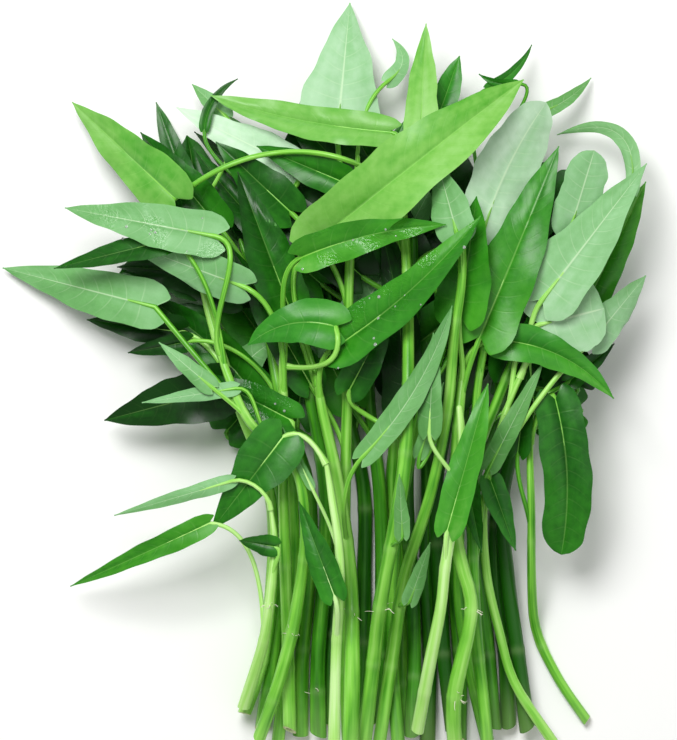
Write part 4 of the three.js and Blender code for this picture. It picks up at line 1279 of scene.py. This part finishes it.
def stemMaterial():
    material, add = newMaterial("stem_skin_fresh")
    tone, share, joint, chance, across, onward, where = skinParts(add)
    onStem = add("ShaderNodeCombineXYZ", (across, onward, chance))
    stretched = add("ShaderNodeVectorMath", (onStem, stemLook["stretch"]), operation="MULTIPLY")
    noises = []
    for vector, size, detail in ((stretched, 1, 3), (where, stemLook["patch"] * mm, 2)):
        noise = add("ShaderNodeTexNoise", {"Vector": vector, "Scale": 1 / size, "Detail": detail})
        noises.append(add("ShaderNodeMath", (noise, 0.5), operation="SUBTRACT"))
    streaks, patches = noises
    shade = add("ShaderNodeMath", (tone, *stemLook["toneShare"]), operation="MULTIPLY_ADD")
    for noise, amount in ((streaks, stemLook["streakiness"]), (patches, stemLook["patchiness"])):
        shade = add("ShaderNodeMath", (noise, amount, shade), operation="MULTIPLY_ADD")
    colour = setStops(add("ShaderNodeValToRGB", (shade,)), stemLook["tones"])
    nearFoot = add("ShaderNodeMapRange", (share, *stemLook["footReach"]), **smoothly)
    nearJoint = add("ShaderNodeMath", (joint, stemLook["jointShare"]), operation="MULTIPLY")
    for amount, tint in ((nearFoot, stemLook["foot"]), (nearJoint, stemLook["joint"])):
        colour = add("ShaderNodeMix", {0: amount, 6: colour, 7: fromHex(tint)}, data_type="RGBA").outputs[2]
    finishOff(add, colour, stemLook["roughness"], streaks, stemLook["bump"], stemLook["specular"])
    return material


pithLook = {
    "tones": [(0, "#b39a5c"), (0.35, "#cfd29a"), (0.7, "#e2eab8"), (1, "#9cb56c")],
    "speck": 1.1,  # mm
    "speckShare": 0.6,
    "inward": (0, 2.6, 0, 0.6),  # from the rim, which browns, to the floor of the hollow
    "roughness": 0.6,
    "bump": 0.24,
}


def pithMaterial():
    material, add = newMaterial("cut_pith")
    *_, onward, where = skinParts(add)
    speck = add("ShaderNodeTexNoise", {"Vector": where, "Scale": 1 / (pithLook["speck"] * mm), "Detail": 3})
    inward = add("ShaderNodeMapRange", (onward, *pithLook["inward"]), **smoothly)
    shade = add("ShaderNodeMath", (speck, pithLook["speckShare"], inward), operation="MULTIPLY_ADD")
    colour = setStops(add("ShaderNodeValToRGB", (shade,)), pithLook["tones"])
    finishOff(add, colour, pithLook["roughness"], speck, pithLook["bump"])
    return material


def plainMaterial(name, colour, roughness, **more):
    material, add = newMaterial(name)
    surface = add("ShaderNodeBsdfPrincipled", {"Base Color": fromHex(colour), "Roughness": roughness, **more})
    add("ShaderNodeOutputMaterial", (surface,))
    return material


finishes = [
    leafMaterial("leaf_upper_waxy", upperLook),  # dark, smooth and waxy, as a fresh leaf's face is
    leafMaterial("leaf_under_matt", underLook),  # paler and duller, with the veins standing out
    stemMaterial(),  # smooth watery skin with fine lengthwise streaks
    pithMaterial(),  # freshly cut wall of the hollow stem, browning at the rim
]
rootletWhite = plainMaterial("rootlet_white", "#e9e8cf", 0.55)  # thin new roots
waterClear = plainMaterial(  # drops
    "water_clear", "#ffffff", 0.04, **{"IOR": 1.33, "Transmission Weight": 0.7})


def addObject(name, mesh):
    made = bpy.data.objects.new(name, mesh)
    bpy.context.scene.collection.objects.link(made)
    return made


# The skins are made in the plan of the bunch, which is moved onto the part's own origin
toPart = Matrix.Translation((-bunch["planCentre"][0] * mm, -bunch["planCentre"][1] * mm, 0))
for place, skin in enumerate(skins):
    name = f"leafy_stem_{place + 1:02d}"
    mesh = skin.toMesh(f"grown_{name}", finishes)
    mesh.transform(toPart)
    piece = addObject(f"grown_{name}", mesh)
    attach(piece, "root")
    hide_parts(name)
print("made", len(skins), "leafy stems")


# What repeats: drops and rootlets


def geometryTree(name, inputs):  # the tree, what is given to it, and the function that adds its nodes
    tree = bpy.data.node_groups.new(name, "GeometryNodeTree")
    tree.interface.new_socket("Geometry", in_out="INPUT", socket_type="NodeSocketGeometry")
    for label, kind, _ in inputs:
        tree.interface.new_socket(label, in_out="INPUT", socket_type=kind)
    tree.interface.new_socket("Geometry", in_out="OUTPUT", socket_type="NodeSocketGeometry")
    add = partial(addNode, tree)
    return tree, add("NodeGroupInput").outputs, add


def endTree(add, geometry, material):
    real = add("GeometryNodeRealizeInstances", (geometry,))
    dressed = add("GeometryNodeSetMaterial", {"Geometry": real, "Material": material})
    add("NodeGroupOutput", (dressed,))


def grown(source, tree, inputs, name):  # the tree's result on a source mesh, as a plain mesh
    modifier = source.modifiers.new("grow", "NODES")
    modifier.node_group = tree
    sockets = {item.name: item.identifier for item in tree.interface.items_tree if item.in_out == "INPUT"}
    for label, _, value in inputs:
        modifier[sockets[label]] = value
    graph = bpy.context.evaluated_depsgraph_get()
    mesh = bpy.data.meshes.new_from_object(source.evaluated_get(graph))
    bpy.data.objects.remove(source)
    mesh.transform(toPart)
    return addObject(name, mesh)


dropInputs = [
    ("Drops per Square Metre", "NodeSocketFloat", 3500.0),
    ("Smallest Radius", "NodeSocketFloat", 0.0004),
    ("Largest Radius", "NodeSocketFloat", 0.001),
    ("Flatness", "NodeSocketFloat", 0.55),
    ("Seed", "NodeSocketInt", 5),
]


def dropTree():
    tree, given, add = geometryTree("water_drops", dropInputs)
    wet = add("GeometryNodeInputNamedAttribute", {"Name": "wet"}, data_type="FLOAT")
    density = add("ShaderNodeMath", (wet, given["Drops per Square Metre"]), operation="MULTIPLY")
    spots = add("GeometryNodeDistributePointsOnFaces", {
        "Mesh": given["Geometry"], "Density": density, "Seed": given["Seed"],
    })
    ball = add("GeometryNodeMeshIcoSphere", {"Radius": 1, "Subdivisions": 3})
    ball = add("GeometryNodeSetShadeSmooth", (ball,))
    chance = add("FunctionNodeRandomValue", {"Seed": given["Seed"]}, data_type="FLOAT").outputs[1]
    skewed = add("ShaderNodeMath", (chance, 2.2), operation="POWER")  # most drops are small
    size = add("ShaderNodeMapRange", {
        "Value": skewed, "To Min": given["Smallest Radius"], "To Max": given["Largest Radius"],
    })
    low = add("ShaderNodeMath", (size, given["Flatness"]), operation="MULTIPLY")
    drops = add("GeometryNodeInstanceOnPoints", {
        "Points": spots, "Instance": ball, "Rotation": spots.outputs["Rotation"],
        "Scale": add("ShaderNodeCombineXYZ", (size, size, low)),
    })
    endTree(add, drops, waterClear)
    return tree


topPoints, topFaces, topWet = [], [], []
for grid, wet in wetTops:
    index = len(topPoints) + np.arange(grid[..., 0].size).reshape(grid.shape[:2])
    topPoints += (grid.reshape(-1, 3) * mm).tolist()
    topWet += [wet] * grid[..., 0].size
    topFaces += cornersOf(index).reshape(-1, 4).tolist()
topMesh = bpy.data.meshes.new("wet_tops")
topMesh.from_pydata(topPoints, [], topFaces)
topMesh.attributes.new("wet", "FLOAT", "POINT").data.foreach_set("value", topWet)
drops = grown(addObject("wet_tops", topMesh), dropTree(), dropInputs, "water_drops")
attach(drops, "root")

rootInputs = [
    ("Thickness", "NodeSocketFloat", 0.0003),
    ("Length", "NodeSocketFloat", 0.0045),
    ("Curl", "NodeSocketFloat", 0.003),
    ("Seed", "NodeSocketInt", 8),
]


def rootTree():
    tree, given, add = geometryTree("rootlets", rootInputs)
    line = add("GeometryNodeCurvePrimitiveLine", {"End": (0, 0, 1)})
    line = add("GeometryNodeResampleCurve", {"Curve": line, "Count": 7})
    share = add("GeometryNodeSplineParameter")
    named = {"Geometry": line, "Name": "share", "Value": share}
    line = add("GeometryNodeStoreNamedAttribute", named, data_type="FLOAT", domain="POINT")
    thin = add("ShaderNodeMapRange", {"Value": share, "To Min": 1, "To Max": 0.3})
    section = add("GeometryNodeCurvePrimitiveCircle", {"Resolution": 6, "Radius": given["Thickness"]})
    tube = add("GeometryNodeCurveToMesh", {
        "Curve": line, "Profile Curve": section, "Scale": thin, "Fill Caps": True,
    })

    # each one leaves its joint on its own way, longer or shorter, and curls
    out = add("GeometryNodeInputNamedAttribute", {"Name": "out"}, data_type="FLOAT_VECTOR")
    turned = add("FunctionNodeAlignRotationToVector", {"Vector": out}, axis="Z")
    longer = {2: 0.45, 3: 1.3, "Seed": given["Seed"]}
    longer = add("FunctionNodeRandomValue", longer, data_type="FLOAT").outputs[1]
    length = add("ShaderNodeMath", (longer, given["Length"]), operation="MULTIPLY")
    roots = add("GeometryNodeInstanceOnPoints", {
        "Points": given["Geometry"], "Instance": tube, "Rotation": turned,
        "Scale": add("ShaderNodeCombineXYZ", (1, 1, length)),
    })
    real = add("GeometryNodeRealizeInstances", (roots,))
    place = add("GeometryNodeInputPosition")
    wave = add("ShaderNodeTexNoise", {"Vector": place, "Scale": 160, "Detail": 0}).outputs["Color"]
    centred = add("ShaderNodeVectorMath", (wave, (0.5, 0.5, 0.55)), operation="SUBTRACT")
    amount = add("GeometryNodeInputNamedAttribute", {"Name": "share"}, data_type="FLOAT")
    for factor in (given["Curl"], 3):
        amount = add("ShaderNodeMath", (amount, factor), operation="MULTIPLY")
    shift = add("ShaderNodeVectorMath", {0: centred, "Scale": amount}, operation="SCALE")
    endTree(add, add("GeometryNodeSetPosition", {"Geometry": real, "Offset": shift}), rootletWhite)
    return tree


spots, ways = [], []
for at, radius, count in rootSpots:
    for _ in range(count):
        turn, forward = looks.uniform(0, math.pi), looks.uniform(-0.7, 0.5)
        way = np.array([math.cos(turn), forward, math.sin(turn)])
        way /= np.linalg.norm(way)
        spots.append((at + way * radius * 0.7) * mm)
        ways.append(way)
spotMesh = bpy.data.meshes.new("root_spots")
spotMesh.from_pydata([tuple(spot) for spot in spots], [], [])
spotMesh.attributes.new("out", "FLOAT_VECTOR", "POINT").data.foreach_set("vector", np.ravel(ways))
rootlets = grown(addObject("root_spots", spotMesh), rootTree(), rootInputs, "rootlets")
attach(rootlets, "root")
print("made", len(drops.data.polygons), "faces of drops and", len(rootlets.data.polygons), "of rootlets")


# The table, the light and the camera

stage = {
    "floor": "#fafaf8",
    "lights": {  # power, size and place
        "key": (28, 0.8, (-0.35, 0.8, 1.5)),
        "fill": (4, 1.6, (0.9, -0.5, 1.3)),
    },
    "sky": 0.32,
}
# The picture is 677 x 740 pixels. viewHeight is what its 740 show at the height of the crown.
camera = {"at": (0.00825, 0.003), "aimHeight": 0.055, "lens": 200, "viewHeight": 0.3603}

floorMesh = bpy.data.meshes.new("table")
floorMesh.from_pydata([(-2, -2, 0), (2, -2, 0), (2, 2, 0), (-2, 2, 0)], [], [(0, 1, 2, 3)])
floorMesh.materials.append(plainMaterial("table_white_laminate", stage["floor"], 0.6))
floor = addObject("table", floorMesh)
floor.location.z = -0.0005

for name, (power, size, at) in stage["lights"].items():
    light = bpy.data.lights.new(name, "AREA")
    light.size, light.energy = size, power
    lamp = addObject(name, light)
    lamp.location = at
    lamp.rotation_euler = Vector(at).to_track_quat("Z", "Y").to_euler()

world = bpy.data.worlds.new("studio")
world.use_nodes = True
world.node_tree.nodes["Background"].inputs[0].default_value = (1, 1, 1, 1)
world.node_tree.nodes["Background"].inputs[1].default_value = stage["sky"]
bpy.context.scene.world = world
bpy.context.scene.view_settings.view_transform = "Standard"

lens = bpy.data.cameras.new("camera")
lens.lens, lens.sensor_width = camera["lens"], 36
lens.clip_start, lens.clip_end = 0.05, 20
photoCamera = addObject("camera", lens)
distance = camera["viewHeight"] * camera["lens"] / lens.sensor_width
photoCamera.location = (*camera["at"], camera["aimHeight"] + distance)
bpy.context.scene.camera = photoCamera
